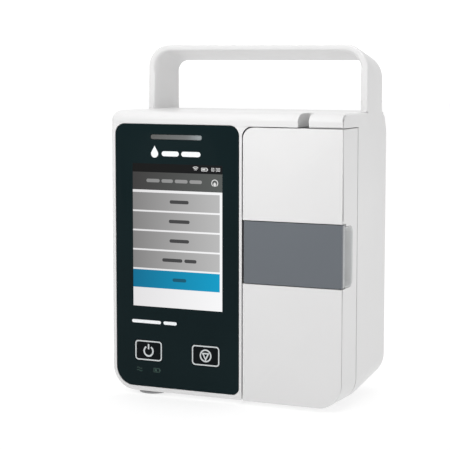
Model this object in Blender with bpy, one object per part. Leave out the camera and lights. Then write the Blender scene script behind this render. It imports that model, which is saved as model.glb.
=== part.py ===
"""Volumetric infusion pump: display side on the left, hinged pump door on the right, carrying handle on top.

Lengths are millimetres until make() turns them into metres.  A point is (x, d, z): x is to the right of
the middle, d is the depth behind the front face, and z is the height above the surface it stands on.
"""
import math

import bmesh
import bpy
from mathutils import Vector

# Overall sizes
WIDTH = 144.0
DEPTH = 76.0
BODY_BOTTOM = 2.0
BODY_TOP = 166.2
HANDLE_TOP = 204.7
WALL = 2.5
GAP = 0.3
SEAM = 0.4
RUN = 0.12
HALF = WIDTH / 2

# Outer rounding of the body
CORNER_R = 14.0
TOP_CORNER_R = 1.5
LIP_R = 6.5
FRONT_EDGE_R = 0.8
REAR_SIDE_R = 6.0
REAR_TOP_R = 12.0
REAR_LOW_R = 6.0
KEEL_START = 32.0
KEEL_SLOPE = 0.15

# Black glass panel and what shows in it
PANEL = (-69.5, 9.5, 5.0, 158.7)
PANEL_RADII = (11.0, 4.2, 6.0, 6.0)
PANEL_POCKET = 1.8
PANEL_THICK = 1.5
FRONT_WALL = 4.3
SCREEN = (-59.2, 0.3, 51.0, 136.5)
KEY_SIZE = (17.8, 12.0)
KEY_R = 2.0
POWER_KEY = (-48.5, 26.2)
START_KEY = (-11.4, 26.1)
KEY_TRAVEL = 0.6
KEY_BACK = FRONT_WALL - 0.4
ALARM = (-46.4, -13.6, 150.1, 152.9)
ALARM_R = 1.35
LAMP_R = 1.4
AC_LAMP = (-54.4, 14.8)
BATTERY_LAMP = (-43.0, 15.0)

# Door, its hinge and the bay behind it
DOOR_LEFT = 11.9
DOOR_BACK = 24.0
DOOR_TOP = 158.0
DOOR_SKIN = 2.2
DOOR_TOP_LEFT_R = 6.4
DOOR_EDGE = 0.35
SWING_CORNER_R = 6.1
HINGE = (20.0, 5.2)
HINGE_PIN_R = 1.2
HINGE_BOSS_R = 2.6
BAY_LEFT = 10.3
BAY_FLOOR = DOOR_BACK + SEAM
BAY_WALL_BACK = BAY_FLOOR + WALL
LOW_LUG = (9.5, 14.0)
HIGH_LUG = (146.0, 150.5)
KNUCKLE = 5.7
MECHANISM_OPENING = (22.0, 64.0, 14.0, 146.0)

# Door handle, a lever across the door
LEVER = (12.6, 71.8, 70.0, 105.4)
LEVER_THICK = 3.0
LEVER_END = 4.6
LEVER_PIVOT = (16.5, 3.2)
LEVER_PIN_R = 0.9
LEVER_BOSS_R = 2.6
RECESS_DEPTH = 6.1
HOOKS = (41.0, 123.0)
HOOK_SLOT = 13.6
CUP = (60.9, 71.7, 6.1, 16.0, 70.1, 103.9)

# Handle arch: its bar drops and its arms thicken towards the back
ARCH_FRONT = 43.0
ARCH_BACK = 68.6
ARCH_HALF = 70.4
ARCH_DROP = 6.1
ARCH_THICK = 3.6
ARCH_ARM = 3.8
ARCH_LEAN = 4.3
ARCH_OUTER_R = 14.0
ARCH_INNER_R = 10.0
ARCH_INNER_R_BACK = 6.5
ARCH_FOOT = ((71.9, 161.0), (71.8, 164.5), (71.35, 167.8), (70.8, 171.0), (70.4, 175.0))

# Pump mechanism
TUBE_X = 48.5
TUBE_SLOT = (45.2, 51.7, 17.0)
CHASSIS = (17.0, 67.0, 8.0, 152.0)
CHASSIS_FRONT = 15.2
CHASSIS_PLATE = 2.5
SHAFT_D = 38.0
SHAFT_R = 2.5
CAM_R = 5.0
CAM_OFFSET = 1.2
FINGERS = 8
FINGER_PITCH = 5.2
FINGER_THICK = 4.6
FIRST_FINGER_Z = 64.0
FINGER_TIP = 16.5
FINGER_TRAVEL = 1.2
PLATE_TRAVEL = 0.8
NOSE_HALF = 3.3
YOKE_HALF_X = 9.0
YOKE_HALF_D = 10.5
FRAME_LOW = 56.0
FRAME_HIGH = 108.5
GEAR_MODULE = 0.7
GEAR_TEETH = 42
PINION_TEETH = 14
GEAR_Z = (49.5, 54.0)
MOTOR_SIDE = 28.0
MOTOR_Z = (13.0, 44.0)

# Back of the pump
COVER = (-61.7, 61.7, 20.3, 149.7)
COVER_FRONT = 73.8
REAR_OPENING = (-54.0, 54.0, 28.0, 142.0)
REAR_OPENING_FRONT = 65.0
BATTERY_DOOR = (-56.0, -20.0, 30.0, 100.0)
CLAMP_PLATE = (10.0, 52.0, 72.0, 122.0)
INLET = (-14.0, 6.0, 32.0, 46.0)
DATA_PORT = (20.0, 46.0, 30.0, 43.0)
SPEAKER = (-38.0, 124.0, 15.0)
GRILLE_SLOTS = 5
GRILLE_PITCH = 4.4
SCREW_HOLE_R = 1.8
SCREWS = ((-58.0, 24.0), (58.0, 24.0), (58.0, 146.0), (-58.0, 146.0))
FEET = ((-50.5, 10.5), (-50.5, 62.0), (40.0, 62.0), (40.0, 35.0))
FOOT_R = 8.7


# ---------------------------------------------------------------- building blocks

def place(x, d, z):
    """World position in metres of a point given in millimetres."""
    return Vector((x, d - DEPTH / 2, z)) * 0.001


def finish(name, colour, roughness, metallic=0.0, alpha=1.0):
    """A plain Principled material."""
    material = bpy.data.materials.new(name)
    material.use_nodes = True
    shader = material.node_tree.nodes["Principled BSDF"]
    shader.inputs["Base Color"].default_value = (*colour, 1.0)
    shader.inputs["Roughness"].default_value = roughness
    shader.inputs["Metallic"].default_value = metallic
    shader.inputs["Alpha"].default_value = alpha
    material.diffuse_color = (*colour, 1.0)
    return material


def make(name, bm, material, pivot=None):
    """Turn a mesh in millimetres into a named object whose origin is its pivot."""
    bmesh.ops.recalc_face_normals(bm, faces=bm.faces[:])
    origin = place(*pivot) if pivot else Vector((0.0, 0.0, 0.0))
    for vert in bm.verts:
        vert.co = place(*vert.co) - origin
    mesh = bpy.data.meshes.new(name)
    bm.to_mesh(mesh)
    bm.free()
    mesh.materials.append(material)
    mesh.shade_smooth()
    mesh.set_sharp_from_angle(angle=math.radians(32.0))
    obj = bpy.data.objects.new(name, mesh)
    obj.location = origin
    bpy.context.scene.collection.objects.link(obj)
    return obj


def tool(name, bm):
    """A hidden solid used only by Boolean modifiers."""
    obj = make(name, bm, FINISH["tool"])
    obj.hide_render = True
    obj.display_type = "WIRE"
    return obj


def combine(target, operation, tools):
    """Add one exact Boolean modifier for each tool."""
    for solid in tools:
        modifier = target.modifiers.new(solid.name, "BOOLEAN")
        modifier.operation = operation
        modifier.solver = "EXACT"
        modifier.object = solid


def cut(target, *tools):
    combine(target, "DIFFERENCE", tools)


def join(target, *tools):
    combine(target, "UNION", tools)


def loft(loops):
    """Closed solid through loops that all have the same number of points."""
    bm = bmesh.new()
    rings = [[bm.verts.new(point) for point in loop] for loop in loops]
    count = len(rings[0])
    for near, far in zip(rings, rings[1:]):
        for i in range(count):
            j = (i + 1) % count
            bm.faces.new((near[i], near[j], far[j], far[i]))
    bm.faces.new(rings[0][::-1])
    bm.faces.new(rings[-1])
    return bm


def prism(outline, low, high, along="d"):
    """Extrude a flat outline along one axis: (x, z) along d, (x, d) along z or (d, z) along x."""
    spots = {
        "d": lambda a, b, t: (a, t, b),
        "z": lambda a, b, t: (a, b, t),
        "x": lambda a, b, t: (t, a, b),
    }
    spot = spots[along]
    return loft([[spot(a, b, t) for a, b in outline] for t in (low, high)])


def box(x0, x1, d0, d1, z0, z1):
    return prism(((x0, z0), (x1, z0), (x1, z1), (x0, z1)), d0, d1)


def arc(centre, radius, start, end, steps):
    """Points along an arc, angles in degrees."""
    angles = [math.radians(start + (end - start) * i / steps) for i in range(steps + 1)]
    return [(centre[0] + radius * math.cos(a), centre[1] + radius * math.sin(a)) for a in angles]


def circle(centre, radius, steps):
    return arc(centre, radius, 0.0, 360.0, steps)[:-1]


def rounded(a0, a1, b0, b1, radii, steps=4):
    """Rectangle outline; the radii go round from the low corner: low-a, high-a, then back."""
    if isinstance(radii, (int, float)):
        radii = (radii,) * 4
    corners = ((a0, b0, 1, 1), (a1, b0, -1, 1), (a1, b1, -1, -1), (a0, b1, 1, -1))
    points = []
    for turn, ((a, b, side_a, side_b), radius) in enumerate(zip(corners, radii)):
        if radius > 0.0:
            start = 180.0 + 90.0 * turn
            points += arc((a + side_a * radius, b + side_b * radius), radius, start, start + 90.0, steps)
        else:
            points.append((a, b))
    return points


def grown(rect, by):
    """A rectangle (low a, high a, low b, high b) made larger on every side."""
    return (rect[0] - by, rect[1] + by, rect[2] - by, rect[3] + by)


def rod(centre, radius, low, high, along="z", steps=16):
    return prism(circle(centre, radius, steps), low, high, along)


def turned(profile, centre, along="z", steps=24):
    """Solid of revolution through (radius, position) pairs; the first and last radius are not zero."""
    spots = {
        "z": lambda a, b, t: (centre[0] + a, centre[1] + b, t),
        "d": lambda a, b, t: (centre[0] + a, t, centre[1] + b),
    }
    spot = spots[along]
    loops = [[spot(a, b, t) for a, b in circle((0.0, 0.0), radius, steps)] for radius, t in profile]
    return loft(loops)


def round_in(distance, radius):
    """How far a quarter-round edge of this radius pulls in at this distance from the edge."""
    if distance >= radius:
        return 0.0
    return radius - math.sqrt(radius * radius - (radius - distance) ** 2)


def ease_stations(start, radius, steps, backwards=False):
    """Depths that divide a quarter round evenly by angle, from its edge at start."""
    offsets = [radius * (1.0 - math.cos(math.radians(90.0 * i / steps))) for i in range(steps + 1)]
    return [start - offset if backwards else start + offset for offset in offsets]


# ---------------------------------------------------------------- body shape

def underside(d):
    """Height of the body's underside, which rises towards the back."""
    return BODY_BOTTOM + KEEL_SLOPE * max(0.0, d - KEEL_START)


def body_outline(d, inset=0.0):
    """Outline of the body at one depth, pulled in by the wall when inset is given."""
    side = HALF - round_in(d, FRONT_EDGE_R) - round_in(DEPTH - d, REAR_SIDE_R) - inset
    low = underside(d) + round_in(d, FRONT_EDGE_R) + round_in(DEPTH - d, REAR_LOW_R) + inset
    high = BODY_TOP - round_in(d, LIP_R) - round_in(DEPTH - d, REAR_TOP_R) - inset
    lower_r = CORNER_R - inset
    return rounded(-side, side, low, high, (lower_r, lower_r, TOP_CORNER_R, TOP_CORNER_R), 5)


def body_solid():
    depths = ease_stations(0.0, LIP_R, 5) + ease_stations(0.0, FRONT_EDGE_R, 2)[1:]
    depths += ease_stations(DEPTH, REAR_TOP_R, 5, True) + [DEPTH - REAR_SIDE_R, KEEL_START]
    return loft([[(x, d, z) for x, z in body_outline(d)] for d in sorted(set(depths))])


def cavity_solid(front, back):
    depths = [front, KEEL_START, DEPTH - REAR_TOP_R, (DEPTH - REAR_TOP_R + back) / 2, back]
    return loft([[(x, d, z) for x, z in body_outline(d, WALL)] for d in depths])


def arch_outline(d):
    """Outline of the handle arch at one depth; each arm flares out into the side of the body."""
    share = (d - ARCH_FRONT) / (ARCH_BACK - ARCH_FRONT)
    top = HANDLE_TOP - ARCH_DROP * share
    outer = ARCH_HALF
    inner = outer - ARCH_ARM - ARCH_LEAN * share
    under = top - ARCH_THICK
    foot = ARCH_FOOT[0][1]
    outer_r = ARCH_OUTER_R
    inner_r = ARCH_INNER_R + (ARCH_INNER_R_BACK - ARCH_INNER_R) * share
    points = [(-x, z) for x, z in ARCH_FOOT]
    points += arc((-outer + outer_r, top - outer_r), outer_r, 180.0, 90.0, 6)
    points += arc((outer - outer_r, top - outer_r), outer_r, 90.0, 0.0, 6)
    points += ARCH_FOOT[::-1]
    points += [(inner, foot)]
    points += arc((inner - inner_r, under - inner_r), inner_r, 0.0, 90.0, 6)
    points += arc((-inner + inner_r, under - inner_r), inner_r, 90.0, 180.0, 6)
    points += [(-inner, foot)]
    return points


def door_outline(inset=0.0):
    """Front view of the door: its lower right corner follows the body's."""
    low_r = CORNER_R - inset
    top_r = max(DOOR_TOP_LEFT_R - inset, 0.8)
    return rounded(DOOR_LEFT + inset, HALF - inset, BODY_BOTTOM + inset, DOOR_TOP - inset,
                   (0.6, low_r, 0.6, top_r), 5)


def hinge_clearance():
    """Space round the hinge axis that the door's left edge sweeps as it opens."""
    low = BODY_BOTTOM - 5.0
    high = DOOR_TOP + SEAM
    reach = SWING_CORNER_R
    profile = []
    edge = HINGE[0] - DOOR_LEFT + SEAM
    profile.append((math.hypot(edge, HINGE[1]), low))
    for i in range(12):
        angle = math.radians(7.5 * i)
        side = edge - reach * (1.0 - math.cos(angle))
        profile.append((math.hypot(side, HINGE[1]), high - reach + reach * math.sin(angle)))
    profile.append((math.hypot(edge - reach, HINGE[1]), high))
    return turned(profile, HINGE, "z", 40)


# ---------------------------------------------------------------- housing

def build_housing():
    housing = make("main_housing", body_solid(), FINISH["white"])
    arch_depths = (ARCH_FRONT, ARCH_BACK)
    arch = tool("arch_tool", loft([[(x, d, z) for x, z in arch_outline(d)] for d in arch_depths]))
    join(housing, arch)
    cavity = tool("cavity_tool", cavity_solid(FRONT_WALL, DEPTH - 5.0))
    cut(cavity, tool("bay_keep_tool", box(BAY_LEFT - WALL, HALF + 5.0, 0.0, BAY_WALL_BACK, -5.0, 190.0)))
    cut(housing, cavity)
    cut(
        housing,
        tool("panel_tool", prism(rounded(*grown(PANEL, 0.2), PANEL_RADII), -1.0, PANEL_POCKET)),
        tool("screen_tool", prism(rounded(*grown(SCREEN, 0.5), 1.0, 2), 1.0, FRONT_WALL + 1.0)),
        tool("alarm_tool", prism(rounded(*grown(ALARM, GAP), ALARM_R), 1.0, FRONT_WALL + 1.0)),
    )
    for name, centre in (("power", POWER_KEY), ("start", START_KEY)):
        cut(housing, tool(name + "_key_tool", key_prism(centre, GAP, 1.0, FRONT_WALL + 1.0)))
    for name, centre in (("ac", AC_LAMP), ("battery", BATTERY_LAMP)):
        cut(housing, tool(name + "_lamp_tool", rod(centre, LAMP_R + GAP, 1.0, FRONT_WALL + 1.0, "d", 12)))
    door_space = box(HINGE[0], HALF + 5.0, -5.0, BAY_FLOOR, -5.0, DOOR_TOP + SEAM)
    deep_space = box(BAY_LEFT, HALF + 5.0, HINGE[1], BAY_FLOOR, -5.0, DOOR_TOP + SEAM)
    cut(
        housing,
        tool("hinge_tool", hinge_clearance()),
        tool("door_space_tool", door_space),
        tool("deep_space_tool", deep_space),
        tool("mechanism_tool", prism(rounded(*MECHANISM_OPENING, 0.0), BAY_FLOOR - 1.0, BAY_WALL_BACK + 1.0)),
        tool("tube_slot_tool", box(TUBE_SLOT[0], TUBE_SLOT[1], -1.0, TUBE_SLOT[2], 150.0, BODY_TOP + 1.0)),
        tool("rear_open_tool", prism(rounded(*REAR_OPENING, 3.0), REAR_OPENING_FRONT, DEPTH + 1.0)),
        tool("cover_tool", prism(rounded(*grown(COVER, GAP), 6.3), COVER_FRONT - GAP, DEPTH + 1.0)),
    )


def build_feet():
    for number, (x, d) in enumerate(FEET, start=1):
        ring = circle((x, d), FOOT_R, 16)
        base = circle((x, d), FOOT_R - 0.5, 16)
        loops = [
            [(a, b, 0.0) for a, b in base],
            [(a, b, 0.5) for a, b in ring],
            [(a, b, underside(b) - 2.0 * GAP) for a, b in ring],
        ]
        make(f"foot_{number}", loft(loops), FINISH["rubber"])


# ---------------------------------------------------------------- display side

def key_prism(centre, gap, front, back):
    half_w = KEY_SIZE[0] / 2 + gap
    half_h = KEY_SIZE[1] / 2 + gap
    outline = rounded(centre[0] - half_w, centre[0] + half_w, centre[1] - half_h, centre[1] + half_h,
                      KEY_R + gap)
    return prism(outline, front, back)


def build_display_side():
    panel = make("front_panel", prism(rounded(*PANEL, PANEL_RADII, 6), 0.0, PANEL_THICK), FINISH["glass"])
    for name, centre in (("power_key", POWER_KEY), ("start_stop_key", START_KEY)):
        cut(panel, tool(name + "_glass_tool", key_prism(centre, GAP, -1.0, 3.0)))
        key = key_prism(centre, 0.0, 0.15, KEY_BACK)
        make(name, key, FINISH["black"], (centre[0], 0.0, centre[1]))
    cut(panel, tool("alarm_glass_tool", prism(rounded(*grown(ALARM, GAP), ALARM_R), -1.0, 3.0)))
    make("alarm_light", prism(rounded(*ALARM, ALARM_R), 0.1, FRONT_WALL), FINISH["lens"])
    for name, centre in (("ac_lamp", AC_LAMP), ("battery_lamp", BATTERY_LAMP)):
        cut(panel, tool(name + "_glass_tool", rod(centre, LAMP_R + GAP, -1.0, 3.0, "d", 12)))
        make(name, rod(centre, LAMP_R, 0.1, FRONT_WALL, "d", 12), FINISH["lens"])
    make("lcd_module", box(*SCREEN[:2], PANEL_THICK + GAP, 6.0, *SCREEN[2:]), FINISH["screen"])
    mat_front = KEY_BACK + KEY_TRAVEL + GAP
    mat = make("key_mat", box(-62.0, 3.0, mat_front + 0.6, mat_front + 1.8, 17.0, 36.0), FINISH["silicone"])
    for name, centre in (("power", POWER_KEY), ("start", START_KEY)):
        dome = turned(((4.5, mat_front + 1.2), (4.5, mat_front + 0.4), (3.0, mat_front)), centre, "d", 16)
        join(mat, tool(name + "_dome_tool", dome))


def build_electronics():
    board = make("main_board", box(-66.0, 4.0, 9.0, 10.6, 40.0, 150.0), FINISH["board"])
    chips = {
        "processor": (-36.0, -22.0, 78.0, 92.0, 2.0),
        "memory": (-18.0, -8.0, 80.0, 90.0, 1.6),
        "radio": (-62.0, -48.0, 128.0, 146.0, 2.6),
        "converter": (-60.0, -48.0, 50.0, 62.0, 4.0),
        "connector": (-30.0, -6.0, 44.0, 50.0, 5.0),
    }
    for name, (x0, x1, z0, z1, height) in chips.items():
        join(board, tool(name + "_tool", box(x0, x1, 10.0, 10.6 + height, z0, z1)))
    battery = rounded(-57.0, -19.0, 45.5, 70.5, 5.0, 3)
    make("battery_pack", prism(battery, 32.0, 98.0, "z"), FINISH["battery"])
    supply = make("power_supply", box(-16.0, 8.0, 36.0, 37.6, 26.0, 108.0), FINISH["board"])
    blocks = {
        "transformer": (-12.0, 5.0, 62.0, 82.0, 17.0),
        "capacitor": (-11.0, 1.0, 86.0, 104.0, 14.0),
        "filter": (-13.0, 5.0, 30.0, 46.0, 13.0),
    }
    for name, (x0, x1, z0, z1, height) in blocks.items():
        join(supply, tool(name + "_tool", box(x0, x1, 37.0, 37.6 + height, z0, z1)))
    x, z, radius = SPEAKER
    profile = (
        (radius * 0.5, 62.0), (radius * 0.5, 66.0), (radius, 69.0), (radius, 72.5),
        (radius - 1.5, 72.5), (radius - 1.5, 71.5), (radius * 0.35, 68.5),
    )
    make("speaker", turned(profile, (x, z), "d", 24), FINISH["black"])


# ---------------------------------------------------------------- back

def build_back():
    cover = make("rear_cover", prism(rounded(*COVER, 6.0), COVER_FRONT, DEPTH), FINISH["white"])
    holes = {"battery": BATTERY_DOOR, "clamp": CLAMP_PLATE, "inlet": INLET, "port": DATA_PORT}
    for name, rect in holes.items():
        cut(cover, tool(name + "_hole_tool", prism(rounded(*grown(rect, GAP), 2.3, 3), 70.0, DEPTH + 1.0)))
    x, z, radius = SPEAKER
    for row in range(GRILLE_SLOTS):
        offset = (row - (GRILLE_SLOTS - 1) / 2) * GRILLE_PITCH
        height = z + offset
        half = math.sqrt((radius - 2.0) ** 2 - offset ** 2)
        slot = rounded(x - half, x + half, height - 0.8, height + 0.8, 0.8, 3)
        cut(cover, tool(f"grille_tool_{row + 1}", prism(slot, 70.0, DEPTH + 1.0)))
    for number, (x, z) in enumerate(SCREWS, start=1):
        seat = DEPTH - 1.6
        steps = ((SCREW_HOLE_R, 70.0), (SCREW_HOLE_R, seat), (3.1, seat), (3.1, DEPTH + 1.0))
        hole = turned(steps, (x, z), "d", 16)
        cut(cover, tool(f"screw_hole_tool_{number}", hole))
        under_head = DEPTH - 1.3
        profile = ((1.4, 71.5), (1.4, under_head), (2.7, under_head), (2.7, DEPTH - 0.1))
        screw = make(f"cover_screw_{number}", turned(profile, (x, z), "d", 16), FINISH["steel"])
        hexagon = prism(circle((x, z), 1.2, 6), DEPTH - 1.0, DEPTH + 1.0)
        cut(screw, tool(f"hex_tool_{number}", hexagon))
    housing = bpy.data.objects["main_housing"]
    for number, centre in enumerate(SCREWS, start=1):
        cut(housing, tool(f"boss_hole_tool_{number}", rod(centre, SCREW_HOLE_R, 70.0, DEPTH, "d", 16)))

    make("battery_door", prism(rounded(*BATTERY_DOOR, 2.0, 3), COVER_FRONT, DEPTH), FINISH["grey"])
    groove = prism(rounded(-46.0, -30.0, 92.0, 95.0, 1.5, 4), DEPTH - 1.0, DEPTH + 1.0)
    cut(bpy.data.objects["battery_door"], tool("battery_groove_tool", groove))

    plate = make("clamp_plate", prism(rounded(*CLAMP_PLATE, 2.0, 3), 70.5, DEPTH), FINISH["aluminium"])
    for number, (x, z) in enumerate(((17.0, 79.0), (45.0, 79.0), (45.0, 115.0), (17.0, 115.0)), start=1):
        cut(plate, tool(f"clamp_hole_tool_{number}", rod((x, z), 2.1, 60.0, DEPTH + 1.0, "d", 16)))

    inlet = make("ac_inlet", prism(rounded(*INLET, 2.0, 3), 58.0, DEPTH), FINISH["black"])
    middle = (INLET[0] + INLET[1]) / 2, (INLET[2] + INLET[3]) / 2
    mouth = rounded(middle[0] - 8.0, middle[0] + 8.0, middle[1] - 4.2, middle[1] + 4.2, 4.1, 5)
    cut(inlet, tool("inlet_mouth_tool", prism(mouth, 66.0, DEPTH + 1.0)))
    for side in (-1, 1):
        pin = rod((middle[0] + side * 4.0, middle[1]), 1.2, 64.0, DEPTH - 2.0, "d", 12)
        join(inlet, tool(f"inlet_pin_tool_{2 + side}", pin))

    port = make("data_port", prism(rounded(*DATA_PORT, 2.0, 3), 62.0, DEPTH), FINISH["black"])
    cut(port, tool("port_mouth_tool", prism(rounded(*grown(DATA_PORT, -2.2), 1.5, 3), 68.0, DEPTH + 1.0)))
    tongue_low = DATA_PORT[2] + 3.4
    tongue = box(DATA_PORT[0] + 5.0, DATA_PORT[1] - 5.0, 66.0, DEPTH - 2.0, tongue_low, tongue_low + 1.4)
    join(port, tool("port_tongue_tool", tongue))


# ---------------------------------------------------------------- pump mechanism

def finger_heights():
    return [FIRST_FINGER_Z + FINGER_PITCH * k for k in range(FINGERS)]


def motor_axis():
    """The motor sits left of and behind the camshaft, at the gears' centre distance."""
    distance = GEAR_MODULE * (GEAR_TEETH + PINION_TEETH) / 2
    across = -17.5
    return TUBE_X + across, SHAFT_D + math.sqrt(distance ** 2 - across ** 2)


def gear_outline(centre, teeth, phase):
    pitch_radius = GEAR_MODULE * teeth / 2
    root = pitch_radius - 1.25 * GEAR_MODULE
    tip = pitch_radius + 0.9 * GEAR_MODULE
    flanks = ((root, -0.30), (tip, -0.12), (tip, 0.12), (root, 0.30))
    points = []
    for tooth in range(teeth):
        for radius, share in flanks:
            angle = phase + 2.0 * math.pi * (tooth + share) / teeth
            points.append((centre[0] + radius * math.cos(angle), centre[1] + radius * math.sin(angle)))
    return points


def build_chassis():
    outline = rounded(*CHASSIS, 4.0)
    chassis = make("pump_chassis", prism(outline, CHASSIS_FRONT, DOOR_BACK), FINISH["grey_frame"])
    inner = rounded(*grown(CHASSIS, -WALL), 2.0, 3)
    cut(chassis, tool("chassis_inner_tool", prism(inner, CHASSIS_FRONT + CHASSIS_PLATE, DOOR_BACK + 1.0)))
    for name, (low, high) in (("low", LOW_LUG), ("high", HIGH_LUG)):
        join(chassis, tool(name + "_lug_tool", prism(lug_outline(), low, high, "z")))
        cut(chassis, tool(name + "_lug_hole_tool", rod(HINGE, HINGE_PIN_R + RUN, low - 1.0, high + 1.0)))
    heights = finger_heights()
    slot_low = heights[0] - FINGER_THICK / 2 - GAP
    slot_high = heights[-1] + FINGER_THICK / 2 + GAP
    slot_half = NOSE_HALF + GAP
    groove = box(TUBE_X - 2.4, TUBE_X + 2.4, CHASSIS_FRONT - 1.0, CHASSIS_FRONT + 1.4, 0.0, 160.0)
    cut(
        chassis,
        tool("tube_groove_tool", groove),
        tool("finger_slot_tool", box(TUBE_X - slot_half, TUBE_X + slot_half, 10.0, 20.0, slot_low, slot_high)),
        tool("upstream_hole_tool", rod((TUBE_X, 142.0), 4.4, 10.0, 20.0, "d")),
        tool("downstream_hole_tool", rod((TUBE_X, 46.0), 4.4, 10.0, 20.0, "d")),
        tool("clamp_slot_tool", box(TUBE_X - 6.8, TUBE_X + 6.8, 10.0, 20.0, 22.7, 31.3)),
        tool("low_hook_slot_tool", box(56.4, 63.5, 10.0, 20.0, HOOKS[0] - 1.0, HOOKS[0] + HOOK_SLOT)),
        tool("high_hook_slot_tool", box(56.4, 63.5, 10.0, 20.0, HOOKS[1] - 1.0, HOOKS[1] + HOOK_SLOT)),
        tool("cup_notch_tool", box(CUP[0] - 0.6, HALF, 10.0, DOOR_BACK + 1.0, CUP[4] - 1.0, CUP[5] + 1.0)),
    )


def lug_outline():
    """Arm from the chassis plate forward to a round boss on the hinge axis."""
    x, d = HINGE
    boss = arc(HINGE, HINGE_BOSS_R, 180.0, 360.0, 8)
    arm = [(x + 2.6, d + 3.0), (x + 4.0, CHASSIS_FRONT + 1.0), (x, CHASSIS_FRONT + 1.0), (x - 1.0, d + 3.0)]
    return boss + arm


def build_sensors():
    sensor = make("bubble_sensor", box(TUBE_X - 6.0, TUBE_X + 6.0, 10.4, CHASSIS_FRONT - GAP, 114.0, 128.0),
                  FINISH["black"])
    cut(sensor, tool("bubble_groove_tool", box(TUBE_X - 2.2, TUBE_X + 2.2, 5.0, 13.5, 110.0, 132.0)))
    for name, height in (("upstream_sensor", 142.0), ("downstream_sensor", 46.0)):
        profile = ((2.5, 13.8), (4.0, 14.6), (4.0, 22.0))
        make(name, turned(profile, (TUBE_X, height), "d", 20), FINISH["steel"])
    jaw = [(TUBE_X - 6.5, 22.0), (TUBE_X - 6.5, 15.0), (TUBE_X - 1.5, 13.2), (TUBE_X + 1.5, 13.2),
           (TUBE_X + 6.5, 15.0), (TUBE_X + 6.5, 22.0)]
    make("free_flow_clamp", prism(jaw, 23.0, 31.0, "z"), FINISH["blue"], (TUBE_X, 22.0, 27.0))
    heights = finger_heights()
    low = heights[0] - 5.0
    high = heights[-1] + 5.0
    sheet = box(TUBE_X - 6.5, TUBE_X + 6.5, CHASSIS_FRONT - 1.1, CHASSIS_FRONT - GAP, low, high)
    make("finger_membrane", sheet, FINISH["silicone"])


def build_mechanism():
    frame = make("mechanism_frame", box(TUBE_X - 11.5, TUBE_X + 11.5, 27.0, 51.0, FRAME_LOW, FRAME_HIGH),
                 FINISH["aluminium"])
    opening = box(TUBE_X - YOKE_HALF_X - GAP, TUBE_X + YOKE_HALF_X + GAP, 20.0, 60.0,
                  FRAME_LOW + 4.5, FRAME_HIGH - 4.5)
    cut(frame, tool("frame_opening_tool", opening))
    axis = (TUBE_X, SHAFT_D)
    cut(frame, tool("bearing_bore_tool", rod(axis, 5.9, FRAME_LOW - 1.0, FRAME_HIGH + 1.0, "z", 20)))
    for name, low in (("bearing_low", FRAME_LOW + 0.2), ("bearing_high", FRAME_HIGH - 4.3)):
        ring = make(name, rod(axis, 5.5, low, low + 4.1, "z", 20), FINISH["steel"])
        cut(ring, tool(name + "_bore_tool", rod(axis, SHAFT_R + RUN, low - 1.0, low + 5.0, "z", 20)))

    build_camshaft(axis)
    gear_phase = math.atan2(motor_axis()[1] - SHAFT_D, motor_axis()[0] - TUBE_X)
    gear = make("camshaft_gear", prism(gear_outline(axis, GEAR_TEETH, gear_phase), *GEAR_Z, "z"),
                FINISH["nylon"], (*axis, GEAR_Z[0]))
    cut(gear, tool("gear_bore_tool", rod(axis, SHAFT_R + GAP, GEAR_Z[0] - 1.0, GEAR_Z[1] + 1.0, "z", 20)))

    motor = motor_axis()
    pinion_phase = gear_phase + math.pi + math.pi / PINION_TEETH
    pinion = make("motor_pinion", prism(gear_outline(motor, PINION_TEETH, pinion_phase), *GEAR_Z, "z"),
                  FINISH["brass"], (*motor, GEAR_Z[0]))
    cut(pinion, tool("pinion_bore_tool", rod(motor, 1.5 + GAP, GEAR_Z[0] - 1.0, GEAR_Z[1] + 1.0)))
    make("motor_shaft", rod(motor, 1.5, MOTOR_Z[0] + 14.0, GEAR_Z[1] + 1.5), FINISH["steel"],
         (*motor, MOTOR_Z[0] + 14.0))
    half = MOTOR_SIDE / 2
    case = rounded(motor[0] - half, motor[0] + half, motor[1] - half, motor[1] + half, 3.0, 2)
    stepper = make("stepper_motor", prism(case, *MOTOR_Z, "z"), FINISH["motor"])
    join(stepper, tool("motor_boss_tool", rod(motor, 8.0, MOTOR_Z[1] - 1.0, MOTOR_Z[1] + 1.6, "z", 24)))
    cut(stepper, tool("motor_bore_tool", rod(motor, 1.5 + GAP, MOTOR_Z[0] + 13.0, MOTOR_Z[1] + 3.0)))

    yoke_gap_x = CAM_R + CAM_OFFSET + GAP
    yoke_gap_d = yoke_gap_x + FINGER_TRAVEL
    yoke_hole = tool("yoke_tool", prism(rounded(TUBE_X - yoke_gap_x, TUBE_X + yoke_gap_x, SHAFT_D - yoke_gap_d,
                                                SHAFT_D + yoke_gap_d, 3.0, 3), 50.0, 115.0, "z"))
    for number, height in enumerate(finger_heights(), start=1):
        finger = prism(finger_outline(), height - FINGER_THICK / 2, height + FINGER_THICK / 2, "z")
        cut(make(f"finger_{number}", finger, FINISH["nylon"], (TUBE_X, SHAFT_D, height)), yoke_hole)


def finger_outline():
    """Narrow nose that presses the tube, widening to the yoke round its cam."""
    nose = arc((TUBE_X, FINGER_TIP + NOSE_HALF), NOSE_HALF, 180.0, 360.0, 6)
    front = SHAFT_D - YOKE_HALF_D
    back = SHAFT_D + YOKE_HALF_D
    right = [(TUBE_X + NOSE_HALF, front), (TUBE_X + YOKE_HALF_X, front), (TUBE_X + YOKE_HALF_X, back)]
    left = [(TUBE_X - YOKE_HALF_X, back), (TUBE_X - YOKE_HALF_X, front), (TUBE_X - NOSE_HALF, front)]
    return nose + right + left


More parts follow.
